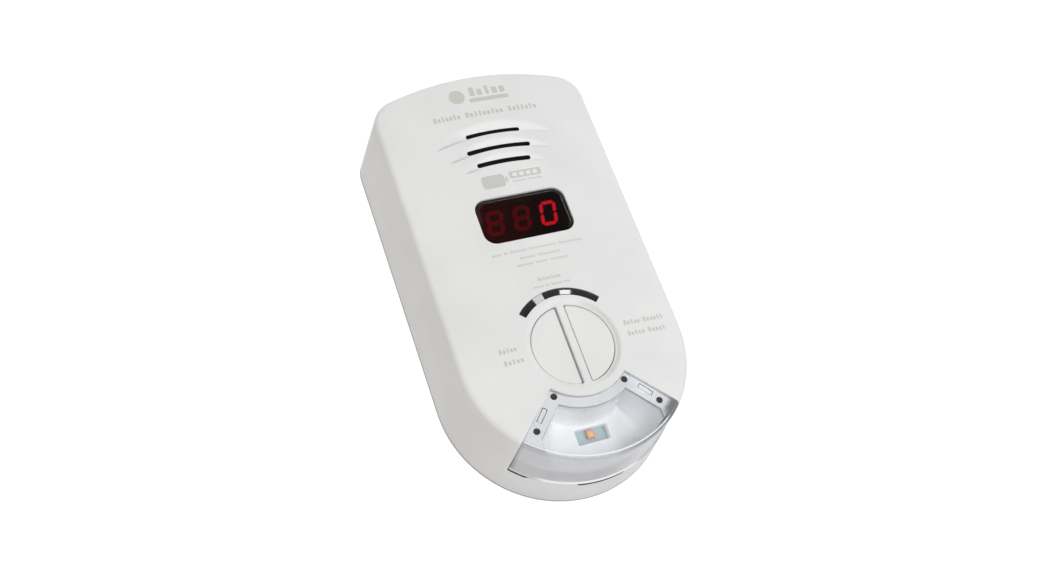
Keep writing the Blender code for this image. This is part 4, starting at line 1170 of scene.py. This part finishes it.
# Lines of blocks in place of print: middle height, letter height, and each word's ends, all in mm
FRONT_LINES = (
    (62.0, 2.3, ((-21, -10.2), (-8.4, 7.0), (8.9, 20.8))),
    (72.0, 4.0, ((-4.2, 11.0),)),
    (1.9, 1.0, ((-17.5, -14.0), (-13.0, -11.6), (-10.6, -4.2), (-3.2, 7.4), (8.4, 17.5))),
    (-1.2, 1.0, ((-7.8, -2.0), (-1.0, 7.8))),
    (-3.9, 0.9, ((-9.8, -3.6), (-2.8, 2.0), (3.0, 9.8))),
    (-10.8, 1.4, ((-4.4, 4.4),)),
    (-13.6, 0.8, ((-7.0, -3.0), (-2.4, -0.8), (-0.2, 4.2), (4.9, 7.2))),
    (-34.2, 1.9, ((-27.0, -20.4),)),
    (-38.7, 1.9, ((-26.6, -19.2),)),
    (-34.0, 1.9, ((20.4, 27.0), (28.2, 36.4))),
    (-38.3, 1.9, ((20.4, 27.4), (28.6, 35.8))),
    (30.3, 0.9, ((0.2, 5.6), (6.4, 11.8))),
)
# Bars: ends, middle height and height in mm. The last one is the pill with four windows
FRONT_BARS = (
    *((-4.6, 11.2, 68.1, 1.7), (-11.4, -2.6, 31.6, 5.4)),
    *((-2.3, -1.3, 31.6, 2.2), (-0.4, 12.2, 33.0, 3.0)),
)
PRINT_RISE, PRINT_SINK = 0.025 * MM, 0.05 * MM  # how far print stands above and reaches below the face
# Bars of the label: distance from its top, height, start and end, all in mm
LABEL_BARS = (
    *((3.2, 2.0, -22, 6), (6.6, 1.1, -22, 20), (9.0, 1.1, -22, 14), (11.4, 1.1, -22, 18)),
    *((16.0, 1.1, -22, -4), (18.4, 1.1, -22, -8), (20.8, 1.1, -22, -6), (23.2, 1.1, -22, -10)),
    *((29.0, 0.9, -22, 21), (31.2, 0.9, -22, 19), (33.4, 0.9, -22, 21), (35.6, 0.9, -22, 4)),
)


def bar(x0, x1, z, height):
    """A printed bar with round corners and enough points to follow the crowned face."""
    half_x, middle = (x1 - x0) / 2, (x0 + x1) / 2
    outline = rounded_rectangle(half_x, height / 2, min(height / 2, half_x) * 0.45, middle, z, 3)
    points = []
    for (ax, az), (bx, bz) in zip(outline, outline[1:] + outline[:1]):
        parts = max(1, int(math.hypot(bx - ax, bz - az) / (1.2 * MM)))
        points += [(ax + (bx - ax) * k / parts, az + (bz - az) * k / parts) for k in range(parts)]
    return points


def words(z, height, spans):
    """Rows of small blocks in place of the letters of a line of print. All in mm."""
    blocks, count = [], 0
    for start, end in spans:
        number = max(1, round((end - start) / (0.72 * height)))
        pitch = (end - start) / number
        for k in range(number):
            tall = LETTER_TALL[(count + k) % len(LETTER_TALL)] == "1" or k == 0
            half_tall = height * (0.5 if tall else 0.36)
            half_wide = pitch * (0.22 if tall and k else 0.34)
            middle = (start + (k + 0.5) * pitch, z - height / 2 + half_tall)
            sizes = (half_wide, half_tall, 0.35 * half_wide, *middle)
            blocks.append(rounded_rectangle(*(size * MM for size in sizes), 2))
        count += number
    return blocks


def make_print(material):
    """The print on the front: blocks for letters, a plain disc and a battery badge."""
    loops = [(block, []) for line in FRONT_LINES for block in words(*line)]
    loops.append((circle((-9.0 * MM, 70.6 * MM), 3.1 * MM, 36), []))
    loops += [(bar(*(size * MM for size in sizes)), []) for sizes in FRONT_BARS]
    for k in range(4):
        loops[-1][1].append(bar((0.9 + 2.7 * k) * MM, (2.7 + 2.7 * k) * MM, 33.0 * MM, 1.7 * MM))
    solid = Solid()
    for outline, holes in loops:
        front, back = (lambda x, z, r=rise: face_y(x, z) + r for rise in (-PRINT_RISE, PRINT_SINK))
        slab(solid, outline, front, back, holes=holes)
    solid.piece("front_print", [material], "housing", slot="label")


def make_label(paper, ink):
    """The blank rating label with bars in place of its print."""
    low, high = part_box("rating_label")
    half_z = (high.z - low.z) / 2
    outline = rounded_rectangle(high.x, half_z, 1.0 * MM, 0.0, LABEL_Z, 6)
    sheet, marks = Solid(), Solid()
    slab(sheet, outline, level(low.y), level(high.y - 0.04 * MM), back_roll=0.03 * MM)
    sheet.piece("rating_sticker", [paper], "housing", ["rating_label"], "label")
    top = LABEL_Z + half_z
    front, back = level(high.y - 0.06 * MM), level(high.y - 0.02 * MM)
    for drop, height, x0, x1 in LABEL_BARS:
        slab(marks, bar(x0 * MM, x1 * MM, top - drop * MM, height * MM), front, back)
    table = bar(2 * MM, 21 * MM, top - 19.6 * MM, 9.2 * MM)
    opening = bar(2.5 * MM, 20.5 * MM, top - 19.6 * MM, 8.2 * MM)
    slab(marks, table, front, back, holes=[opening])
    marks.piece("rating_print", [ink], "housing", slot="label")


# --- Materials -----------------------------------------------------------------------------


class Nodes:
    """Short names for building the node tree of a material or of the world."""

    def __init__(self, owner, output="ShaderNodeOutputMaterial", coordinates="Object"):
        owner.use_nodes = True
        self.owner, self.tree = owner, owner.node_tree
        self.tree.nodes.clear()
        self.output = self.new(output)
        self.place = self.new("ShaderNodeTexCoord").outputs[coordinates]

    def new(self, kind, inputs=(), **values):
        """A node with its settings; each input is a number, a tuple or an output to link."""
        node = self.tree.nodes.new(kind)
        for key, value in values.items():
            setattr(node, key, value)
        for key, value in dict(inputs).items():
            if isinstance(value, bpy.types.NodeSocket):
                self.tree.links.new(value, node.inputs[key])
            elif value is not None:
                is_colour = node.inputs[key].type == "RGBA"
                node.inputs[key].default_value = (*value, 1.0) if is_colour else value
        return node

    def axes(self):
        return self.new("ShaderNodeSeparateXYZ", {0: self.place}).outputs

    def noise(self, scale, detail=3.0, stretch=None):
        source = self.place
        if stretch:
            source = self.new("ShaderNodeMapping", {"Vector": source, "Scale": stretch}).outputs["Vector"]
        inputs = {"Vector": source, "Scale": scale, "Detail": detail}
        return self.new("ShaderNodeTexNoise", inputs).outputs["Fac"]

    def spread(self, source, low=0.0, high=1.0, start=0.3, end=0.7):
        """Maps start..end of a value to low..high."""
        inputs = {"Value": source, "From Min": start, "From Max": end, "To Min": low, "To Max": high}
        return self.new("ShaderNodeMapRange", inputs).outputs["Result"]

    def rise(self, source, start_mm, end_mm, low=0.0, high=1.0):
        return self.spread(source, low, high, start_mm * MM, end_mm * MM)

    def fall(self, source, start_mm, end_mm):
        return self.rise(source, start_mm, end_mm, 1.0, 0.0)

    def blend(self, share, first, second):
        """A colour between two colours, each a tuple or an output."""
        inputs = {"Factor": share, "A": first, "B": second}
        return self.new("ShaderNodeMix", inputs, data_type="RGBA").outputs["Result"]

    def math(self, operation, first, second):
        return self.new("ShaderNodeMath", {0: first, 1: second}, operation=operation).outputs[0]

    def times(self, first, second):
        return self.math("MULTIPLY", first, second)

    def most(self, first, second):
        return self.math("MAXIMUM", first, second)

    def bump(self, height, strength, distance, base=None):
        inputs = {"Height": height, "Strength": strength, "Distance": distance, "Normal": base}
        return self.new("ShaderNodeBump", inputs).outputs["Normal"]

    def shader(self, colour, roughness, normal=None, **values):
        inputs = {"Base Color": colour, "Roughness": roughness, "Normal": normal}
        inputs.update({key.replace("_", " "): value for key, value in values.items()})
        return self.new("ShaderNodeBsdfPrincipled", inputs).outputs["BSDF"]

    def finish(self, shader):
        self.tree.links.new(shader, self.output.inputs["Surface"])
        return self.owner


def material_nodes(name):
    return Nodes(bpy.data.materials.new(name))


def shaded(colour, factor):
    return tuple(min(1.0, c * factor) for c in colour)


def plastic(name, colour, roughness, variation=0.03, grain_size=0.35 * MM, marks=()):
    """Moulded plastic: fine texture, faint mottling, uneven gloss. Marks are (attribute, tone factor) pairs
    of painted light: a painted highlight or painted shade where the attribute is set.
    """
    nodes = material_nodes(name)
    mottle = nodes.spread(nodes.noise(45.0, 4.0))
    tone = nodes.blend(mottle, shaded(colour, 1 - variation), shaded(colour, 1 + variation))
    for attribute, factor in marks:
        painted_mark = nodes.new("ShaderNodeAttribute", attribute_name=attribute)
        tone = nodes.blend(painted_mark.outputs["Fac"], tone, shaded(colour, factor))
    gloss = nodes.spread(nodes.noise(160.0), roughness * 0.88, roughness * 1.12)
    waves = nodes.bump(nodes.noise(35.0, 1.0), 0.05, 0.2 * MM)
    normal = nodes.bump(nodes.noise(1 / grain_size, 2.0), 0.35, 0.02 * MM, waves)
    return nodes.finish(nodes.shader(tone, gloss, normal))


def metal(name, colour, roughness, stretch=(1.0, 1.0, 1.0)):
    """Plated or stamped metal with fine drawing lines and tarnish."""
    nodes = material_nodes(name)
    tone = nodes.blend(nodes.spread(nodes.noise(220.0, 4.0)), shaded(colour, 0.86), colour)
    lines = nodes.noise(2200.0, 2.0, stretch)
    gloss = nodes.spread(lines, roughness * 0.8, roughness * 1.35)
    return nodes.finish(nodes.shader(tone, gloss, nodes.bump(lines, 0.25, 0.01 * MM), Metallic=1.0))


def circuit(name, resist, track):
    """Solder resist over tracks, with small pads showing through."""
    nodes = material_nodes(name)

    def cells(scale, start, end, **values):
        found = nodes.new("ShaderNodeTexVoronoi", {"Vector": nodes.place, "Scale": scale}, **values)
        return nodes.spread(found.outputs["Distance"], 1.0, 0.0, start, end)

    line = cells(260.0, 0.03, 0.06, feature="DISTANCE_TO_EDGE", distance="MANHATTAN")
    tone = nodes.blend(line, resist, track)
    tone = nodes.blend(cells(330.0, 0.16, 0.2, feature="F1"), tone, (0.62, 0.60, 0.52))
    gloss = nodes.spread(nodes.noise(300.0), 0.25, 0.4)
    return nodes.finish(nodes.shader(tone, gloss, nodes.bump(line, 0.3, 0.03 * MM)))


def clear_mix(nodes, tint, haze, haze_colour, ior, gloss=0.04, normal=None):
    """Thin clear plastic: see-through, with a Fresnel reflection and some haze."""
    clear = nodes.new("ShaderNodeBsdfTransparent", {"Color": tint}).outputs["BSDF"]
    shine = nodes.new("ShaderNodeBsdfGlossy", {"Roughness": gloss, "Normal": normal}).outputs["BSDF"]
    edge = nodes.new("ShaderNodeFresnel", {"IOR": ior, "Normal": normal}).outputs["Fac"]
    glassy = nodes.new("ShaderNodeMixShader", {"Fac": edge, 1: clear, 2: shine}).outputs["Shader"]
    cloudy = nodes.shader(haze_colour, 0.3, normal)
    return nodes.new("ShaderNodeMixShader", {"Fac": haze, 1: glassy, 2: cloudy}).outputs["Shader"]


def lens_plastic():
    """Clear acrylic: polished face, painted highlights on the rolled edge and the lip, frosted wall with
    painted shade high up, at its ends and in a patch on the right, and painted shade at the lip's ends.
    """
    nodes = material_nodes("lens_acrylic")
    rise, fall, times, most = nodes.rise, nodes.fall, nodes.times, nodes.most
    x, y, z = nodes.axes()
    crowned = times(times(x, x), CROWN / HALF_WIDTH**2)
    below = nodes.math("SUBTRACT", nodes.math("ADD", y, DEPTH), crowned)
    wall = rise(below, 0.35, 1.0, 0.0, 0.76)
    # Painted highlight: the rolled edge is painted near white and hazed.
    edge_highlight = times(rise(below, 0.02, 0.2, 0.0, 0.9), fall(below, 0.35, 0.6))
    # Painted highlight: the lip at the lens's end is painted white and fully hazed.
    lip = rise(y, -17.5, -17.4)
    # Painted shade: the wall is painted darker towards both ends.
    ends = times(most(rise(x, 16, 27), fall(x, -30.2, -28.8)), rise(below, 0.2, 1.5))
    # Painted shade: the wall is painted darkest just behind the rolled edge and lighter further back.
    middle = nodes.blend(rise(below, 3, 13), (0.73, 0.74, 0.785), (0.80, 0.805, 0.82))
    middle = nodes.blend(rise(below, 1.2, 3.2), (0.52, 0.54, 0.60), middle)
    tone = nodes.blend(edge_highlight, middle, (0.97, 0.98, 1.0))
    tone = nodes.blend(ends, tone, (0.40, 0.41, 0.43))
    z = nodes.math("SUBTRACT", z, LOWER_ARC_Z)
    radius = nodes.math("SQRT", nodes.math("ADD", times(x, x), times(z, z)), 0.0)
    # Painted shade: a dark patch near the rim on the right.
    corner = nodes.spread(radius, 0.0, 0.92, HALF_WIDTH - 3.4 * MM, HALF_WIDTH - 2.9 * MM)
    corner = times(corner, rise(x, 22.0, 24.5))
    tone = nodes.blend(corner, tone, (0.16, 0.17, 0.18))
    # Painted shade: the lip is painted grey towards both ends.
    lip_end_shade = most(fall(x, -24, -20), rise(x, 14, 17))
    tone = nodes.blend(lip, tone, nodes.blend(lip_end_shade, (0.98, 0.99, 1.0), (0.62, 0.63, 0.65)))
    streaks = nodes.spread(nodes.noise(60.0, 2.0, (1.0, 0.25, 1.0)), 0.88, 1.08)
    haze = nodes.math("ADD", times(wall, streaks), 0.02)
    haze = most(most(haze, edge_highlight), most(lip, corner))
    normal = nodes.bump(nodes.noise(90.0, 1.0), 0.08, 0.3 * MM)
    return nodes.finish(clear_mix(nodes, (0.99, 0.995, 1.0), haze, tone, 1.3, normal=normal))


def lens_inside():
    """The lens's inner faces: clear, with the faintest uneven haze."""
    nodes = material_nodes("lens_inner_faces")
    haze = nodes.spread(nodes.noise(120.0), 0.0, 0.025)
    return nodes.finish(clear_mix(nodes, (0.99, 0.995, 1.0), haze, (0.9, 0.91, 0.93), 1.02))


def reflector_plastic():
    """Glossy white scoop with a painted glow, stronger low down, deeper in the scoop and in its far right
    corner, and painted shade on its right side.
    """
    nodes = material_nodes("reflector_white_painted_glow")
    rise, times = nodes.rise, nodes.times
    x, y, z = nodes.axes()
    right = rise(x, 3, 12)
    tone = nodes.blend(nodes.spread(nodes.noise(45.0, 4.0)), (0.93, 0.935, 0.935), (0.95, 0.953, 0.955))
    # Painted shade: the right side is painted darker.
    tone = nodes.blend(right, tone, (0.90, 0.905, 0.91))
    # Painted glow: emission, stronger low down and deeper in, weaker to the right, with more in the far
    # right corner.
    inward_glow = times(rise(y, -36.0, -33.0, 0.25, 1.0), nodes.spread(right, 1.0, 0.3))
    far_corner_glow = times(rise(x, 13, 18), rise(z, -68, -60, 0.0, 0.13))
    painted_glow = nodes.math("ADD", times(rise(z, -77, -66, 0.16, 0.085), inward_glow), far_corner_glow)
    gloss = nodes.spread(nodes.noise(160.0), 0.25, 0.32)
    normal = nodes.bump(nodes.noise(3000.0, 2.0), 0.12, 0.02 * MM)
    colour = (0.96, 0.98, 1.0)
    return nodes.finish(nodes.shader(tone, gloss, normal, Emission_Color=colour, Emission_Strength=painted_glow))


def filter_plastic():
    """The display's dark red filter, warmer to the left."""
    nodes = material_nodes("display_red_filter")
    dust = nodes.spread(nodes.noise(900.0), 0.55, 0.75)
    tone = nodes.blend(dust, (0.006, 0.002, 0.001), (0.009, 0.004, 0.002))
    tone = nodes.blend(nodes.fall(nodes.axes()["X"], -15, 6), tone, (0.05, 0.003, 0.004))
    normal = nodes.bump(nodes.noise(40.0, 1.0), 0.02, 0.1 * MM)
    return nodes.finish(clear_mix(nodes, (0.62, 0.11, 0.15), 0.3, tone, 1.4, 0.05, normal))


def smoked_plastic():
    nodes = material_nodes("smoked_black")
    streak = nodes.spread(nodes.noise(140.0), start=0.4, end=0.75)
    tone = nodes.blend(streak, (0.004, 0.004, 0.005), (0.016, 0.016, 0.018))
    normal = nodes.bump(nodes.noise(260.0, 2.0), 0.03, 0.1 * MM)
    return nodes.finish(nodes.shader(tone, nodes.spread(nodes.noise(700.0), 0.03, 0.07), normal))


def clear_window_plastic():
    nodes = material_nodes("clear_window")
    tone = nodes.blend(nodes.noise(400.0), (0.55, 0.57, 0.58), (0.7, 0.72, 0.73))
    return nodes.finish(nodes.shader(tone, 0.12, nodes.bump(nodes.noise(260.0, 2.0), 0.08, 0.1 * MM)))


def glow(name, colour, strength):
    """A display bar that glows, slightly uneven across its length: the lit bars are the display's lamp, the
    unlit bars' faint glow is painted light.
    """
    nodes = material_nodes(name)
    strength = nodes.times(nodes.spread(nodes.noise(900.0, 2.0), 0.85, 1.1), strength)
    base = (0.2, 0.01, 0.01)
    return nodes.finish(nodes.shader(base, None, Emission_Color=colour, Emission_Strength=strength))


def fabric_mesh():
    """Woven dust mesh: threads both ways with dark openings."""
    nodes = material_nodes("woven_mesh")
    inputs = {"Vector": nodes.place, "Scale": 900.0}
    waves = [nodes.new("ShaderNodeTexWave", inputs, bands_direction=axis).outputs["Fac"] for axis in "XZ"]
    weave = nodes.most(*waves)
    tone = nodes.blend(nodes.spread(weave, start=0.55, end=0.95), (0.002, 0.002, 0.002), (0.02, 0.02, 0.02))
    return nodes.finish(nodes.shader(tone, 0.85, nodes.bump(weave, 0.6, 0.05 * MM)))


def slot_materials():
    """One finished material for each slot of the record that a carried-over node uses."""
    return {
        "dark_plastic": plastic("dark_moulding", (0.03, 0.03, 0.032), 0.5),
        "component_black": plastic("epoxy_black", (0.02, 0.02, 0.021), 0.42, grain_size=0.15 * MM),
        "circuit_board": circuit("green_board", (0.015, 0.13, 0.05), (0.03, 0.22, 0.09)),
        "led_board": plastic("white_board", (0.54, 0.65, 0.67), 0.35),
        "led_phosphor": plastic("phosphor", (0.95, 0.72, 0.22), 0.4),
        "led_body": plastic("led_epoxy", (0.80, 0.80, 0.80), 0.2),
        "screw_steel": metal("zinc_steel", (0.60, 0.60, 0.62), 0.32),
        "blade_brass": metal("stamped_brass", (0.78, 0.63, 0.34), 0.28, (1.0, 0.08, 1.0)),
        "nickel_spring": metal("nickel_plate", (0.70, 0.69, 0.66), 0.3),
        "capacitor_can": plastic("capacitor_sleeve", (0.05, 0.06, 0.09), 0.35),
        "film_yellow": plastic("yellow_epoxy", (0.75, 0.55, 0.08), 0.4),
        "ceramic_blue": plastic("blue_ceramic", (0.06, 0.14, 0.42), 0.4),
        "fuse_sleeve": plastic("fuse_tube", (0.35, 0.25, 0.20), 0.3),
        "ferrite": plastic("ferrite_core", (0.06, 0.06, 0.062), 0.6, 0.1),
        "winding_tape": plastic("polyester_tape", (0.80, 0.62, 0.12), 0.4),
        "cell_sleeve": plastic("shrink_sleeve", (0.12, 0.22, 0.45), 0.35),
        "mesh_fabric": fabric_mesh(),
        "lead_insulation": plastic("pvc_red", (0.55, 0.04, 0.04), 0.45),
    }


# --- Studio --------------------------------------------------------------------------------

CAMERA_PLACE = (-0.14797, -0.40927, -0.17941)
CAMERA_RIGHT = (0.92549, -0.19963, -0.32189)
CAMERA_UP = (0.20055, -0.46266, 0.86356)
CAMERA_BACK = (-0.32132, -0.86377, -0.38815)
LENS_MM = 41.73

SKY = {  # radiance from each side
    "+X": (0.48, 0.49, 0.51),
    "-X": (0.45, 0.402, 0.345),
    "+Y": (1.00, 1.00, 1.00),
    "-Y": (0.54, 0.54, 0.54),
    "+Z": (0.90, 0.905, 0.91),
    "-Z": (0.75, 0.755, 0.77),
}
BACKDROP = 1.06  # white behind the object
DARK_TOWARDS = (0.321, -0.864, 0.388)  # what the display mirrors to the camera
DARK_SHARE = 0.85

LIGHTS = (  # name, place, size and power
    ("key_softbox", (0.05, -0.92, -0.38), (0.8, 0.5), 3.5),
    ("key_lamp", (0.252, -0.981, -0.346), (0.11, 0.10), 0.75),
    ("edge_strip", (0.86, -0.33, 0.40), (0.06, 0.22), 0.6),
    ("top_strip", (0.32, -0.41, 0.86), (0.5, 0.06), 0.5),
)
LIT_PLACE = (0.0, -0.02, 0.0)
FLOOR_Z, FLOOR_HALF, FLOOR_STEPS = -1.2, 6.0, 8


def make_camera():
    data = bpy.data.cameras.new("studio_camera")
    data.lens = LENS_MM
    data.sensor_width = 36.0
    data.clip_start = 0.01
    camera = bpy.data.objects.new("studio_camera", data)
    turn = Matrix((CAMERA_RIGHT, CAMERA_UP, CAMERA_BACK)).transposed()
    camera.matrix_world = Matrix.Translation(CAMERA_PLACE) @ turn.to_4x4()
    bpy.context.scene.collection.objects.link(camera)
    bpy.context.scene.camera = camera


def make_world():
    """White all round, softer from the left and below, with a dark card that the display mirrors."""
    nodes = Nodes(bpy.data.worlds.new("studio"), "ShaderNodeOutputWorld", "Generated")

    def vector(operation, first, second):
        inputs = {0: first, "Scale" if operation == "SCALE" else 1: second}
        return nodes.new("ShaderNodeVectorMath", inputs, operation=operation).outputs[0]

    def lobe(towards, start, end):
        """1 close to a direction and 0 away from it, by the cosine of the angle between."""
        dot = nodes.new("ShaderNodeVectorMath", {0: nodes.place, 1: towards}, operation="DOT_PRODUCT")
        inputs = {"Value": dot.outputs["Value"], "From Min": start, "From Max": end}
        return nodes.new("ShaderNodeMapRange", inputs, interpolation_type="SMOOTHSTEP").outputs["Result"]

    axes = nodes.axes()
    total = None
    for axis in "XYZ":
        for sign in "+-":
            part = axes[axis] if sign == "+" else nodes.times(axes[axis], -1.0)
            part = nodes.most(part, 0.0)
            part = vector("SCALE", SKY[sign + axis], nodes.times(part, part))
            total = part if total is None else vector("ADD", total, part)
    card = nodes.times(lobe(DARK_TOWARDS, 0.90, 0.96), DARK_SHARE)
    total = vector("SCALE", total, nodes.math("SUBTRACT", 1.0, card))
    behind = lobe(tuple(-c for c in CAMERA_BACK), 0.70, 0.80)
    total = vector("SCALE", total, nodes.math("SUBTRACT", 1.0, behind))
    total = vector("ADD", total, nodes.times(behind, BACKDROP))
    background = nodes.new("ShaderNodeBackground", {"Color": total})
    bpy.context.scene.world = nodes.finish(background.outputs["Background"])


def make_light(name, place, size, power):
    data = bpy.data.lights.new(name, "AREA")
    data.shape = "RECTANGLE"
    data.size, data.size_y = size
    data.energy = power
    light = bpy.data.objects.new(name, data)
    light.location = place
    light.rotation_euler = (Vector(LIT_PLACE) - Vector(place)).to_track_quat("-Z", "Y").to_euler()
    light.visible_camera = False
    light.visible_glossy = name != "key_softbox"  # it would fill the black lenses with grey
    bpy.context.scene.collection.objects.link(light)


def make_floor():
    """A plain pale floor well below the wall-mounted alarm."""
    nodes = material_nodes("pale_floor")
    tone = nodes.blend(nodes.spread(nodes.noise(3.0, 4.0)), (0.80, 0.80, 0.81), (0.84, 0.84, 0.85))
    material = nodes.finish(nodes.shader(tone, 0.7, nodes.bump(nodes.noise(120.0), 0.1, 0.5 * MM)))
    mesh = bpy.data.meshes.new("floor")
    places = [float(p) for p in np.linspace(-FLOOR_HALF, FLOOR_HALF, FLOOR_STEPS + 1)]
    faces = []
    for row in range(FLOOR_STEPS):
        for column in range(FLOOR_STEPS):
            first = row * (FLOOR_STEPS + 1) + column
            faces.append((first, first + 1, first + FLOOR_STEPS + 2, first + FLOOR_STEPS + 1))
    mesh.from_pydata([(x, y, FLOOR_Z) for y in places for x in places], [], faces)
    mesh.materials.append(material)
    floor = bpy.data.objects.new("floor", mesh)
    bpy.context.scene.collection.objects.link(floor)


# --- Assembly ------------------------------------------------------------------------------


def dress_carried_nodes(materials):
    """Gives each CAD node that stays in view the finished material of its slot."""
    for entry in frame["record"]["subparts"]:
        node = frame["nodes"][entry["node"]]
        if not node.hide_render:
            node.material_slots[0].material = materials[entry["material_slot"]]


def main():
    shell_colour = (0.82, 0.822, 0.817)
    shell = plastic("shell_white", shell_colour, 0.46)
    button = plastic("button_white", (0.83, 0.828, 0.812), 0.40)
    ink = plastic("print_grey", (0.60, 0.62, 0.57), 0.5)
    dark_ink = plastic("label_ink", (0.10, 0.10, 0.11), 0.5)
    slots = slot_materials()
    # The front's marks paint light: a highlight in the grille's hollows and shade along the creases and on
    # the dish's slope.
    front = plastic("front_white", shell_colour, 0.46, marks=(("hollow", 1.10), ("crease", 0.2)))
    make_front_cover(front, slots["component_black"])
    # The rear cover's back edge is painted dark grey as shade.
    make_rear_cover(shell, plastic("shell_edge_painted_shade", (0.36, 0.362, 0.36), 0.5))
    make_window(filter_plastic())
    # The unlit bars glow faintly: painted light, as they are not lit.
    make_digits(glow("segment_lit", (1.0, 0.12, 0.50), 2.8), glow("segment_unlit_painted_glow", (1.0, 0.02, 0.03), 0.26))
    make_status_lens(smoked_plastic(), clear_window_plastic())
    make_buttons(button)
    make_lens(lens_plastic(), lens_inside())
    # A grey line painted round the reflector's mouth as shade.
    mouth_shade_line = plastic("mouth_shade_line", (0.56, 0.57, 0.60), 0.5)
    make_tray(reflector_plastic(), slots["dark_plastic"], mouth_shade_line)
    lamp = plastic("lamp_pink", (0.90, 0.48, 0.44), 0.35)
    make_led(lamp, plastic("lamp_phosphor", (1.0, 0.70, 0.16), 0.4))
    make_print(ink)
    make_label(plastic("label_paper", (0.72, 0.72, 0.73), 0.5), dark_ink)
    dress_carried_nodes(slots)
    make_camera()
    make_world()
    for light in LIGHTS:
        make_light(*light)
    make_floor()
    bpy.context.scene.view_settings.view_transform = "Standard"


main()
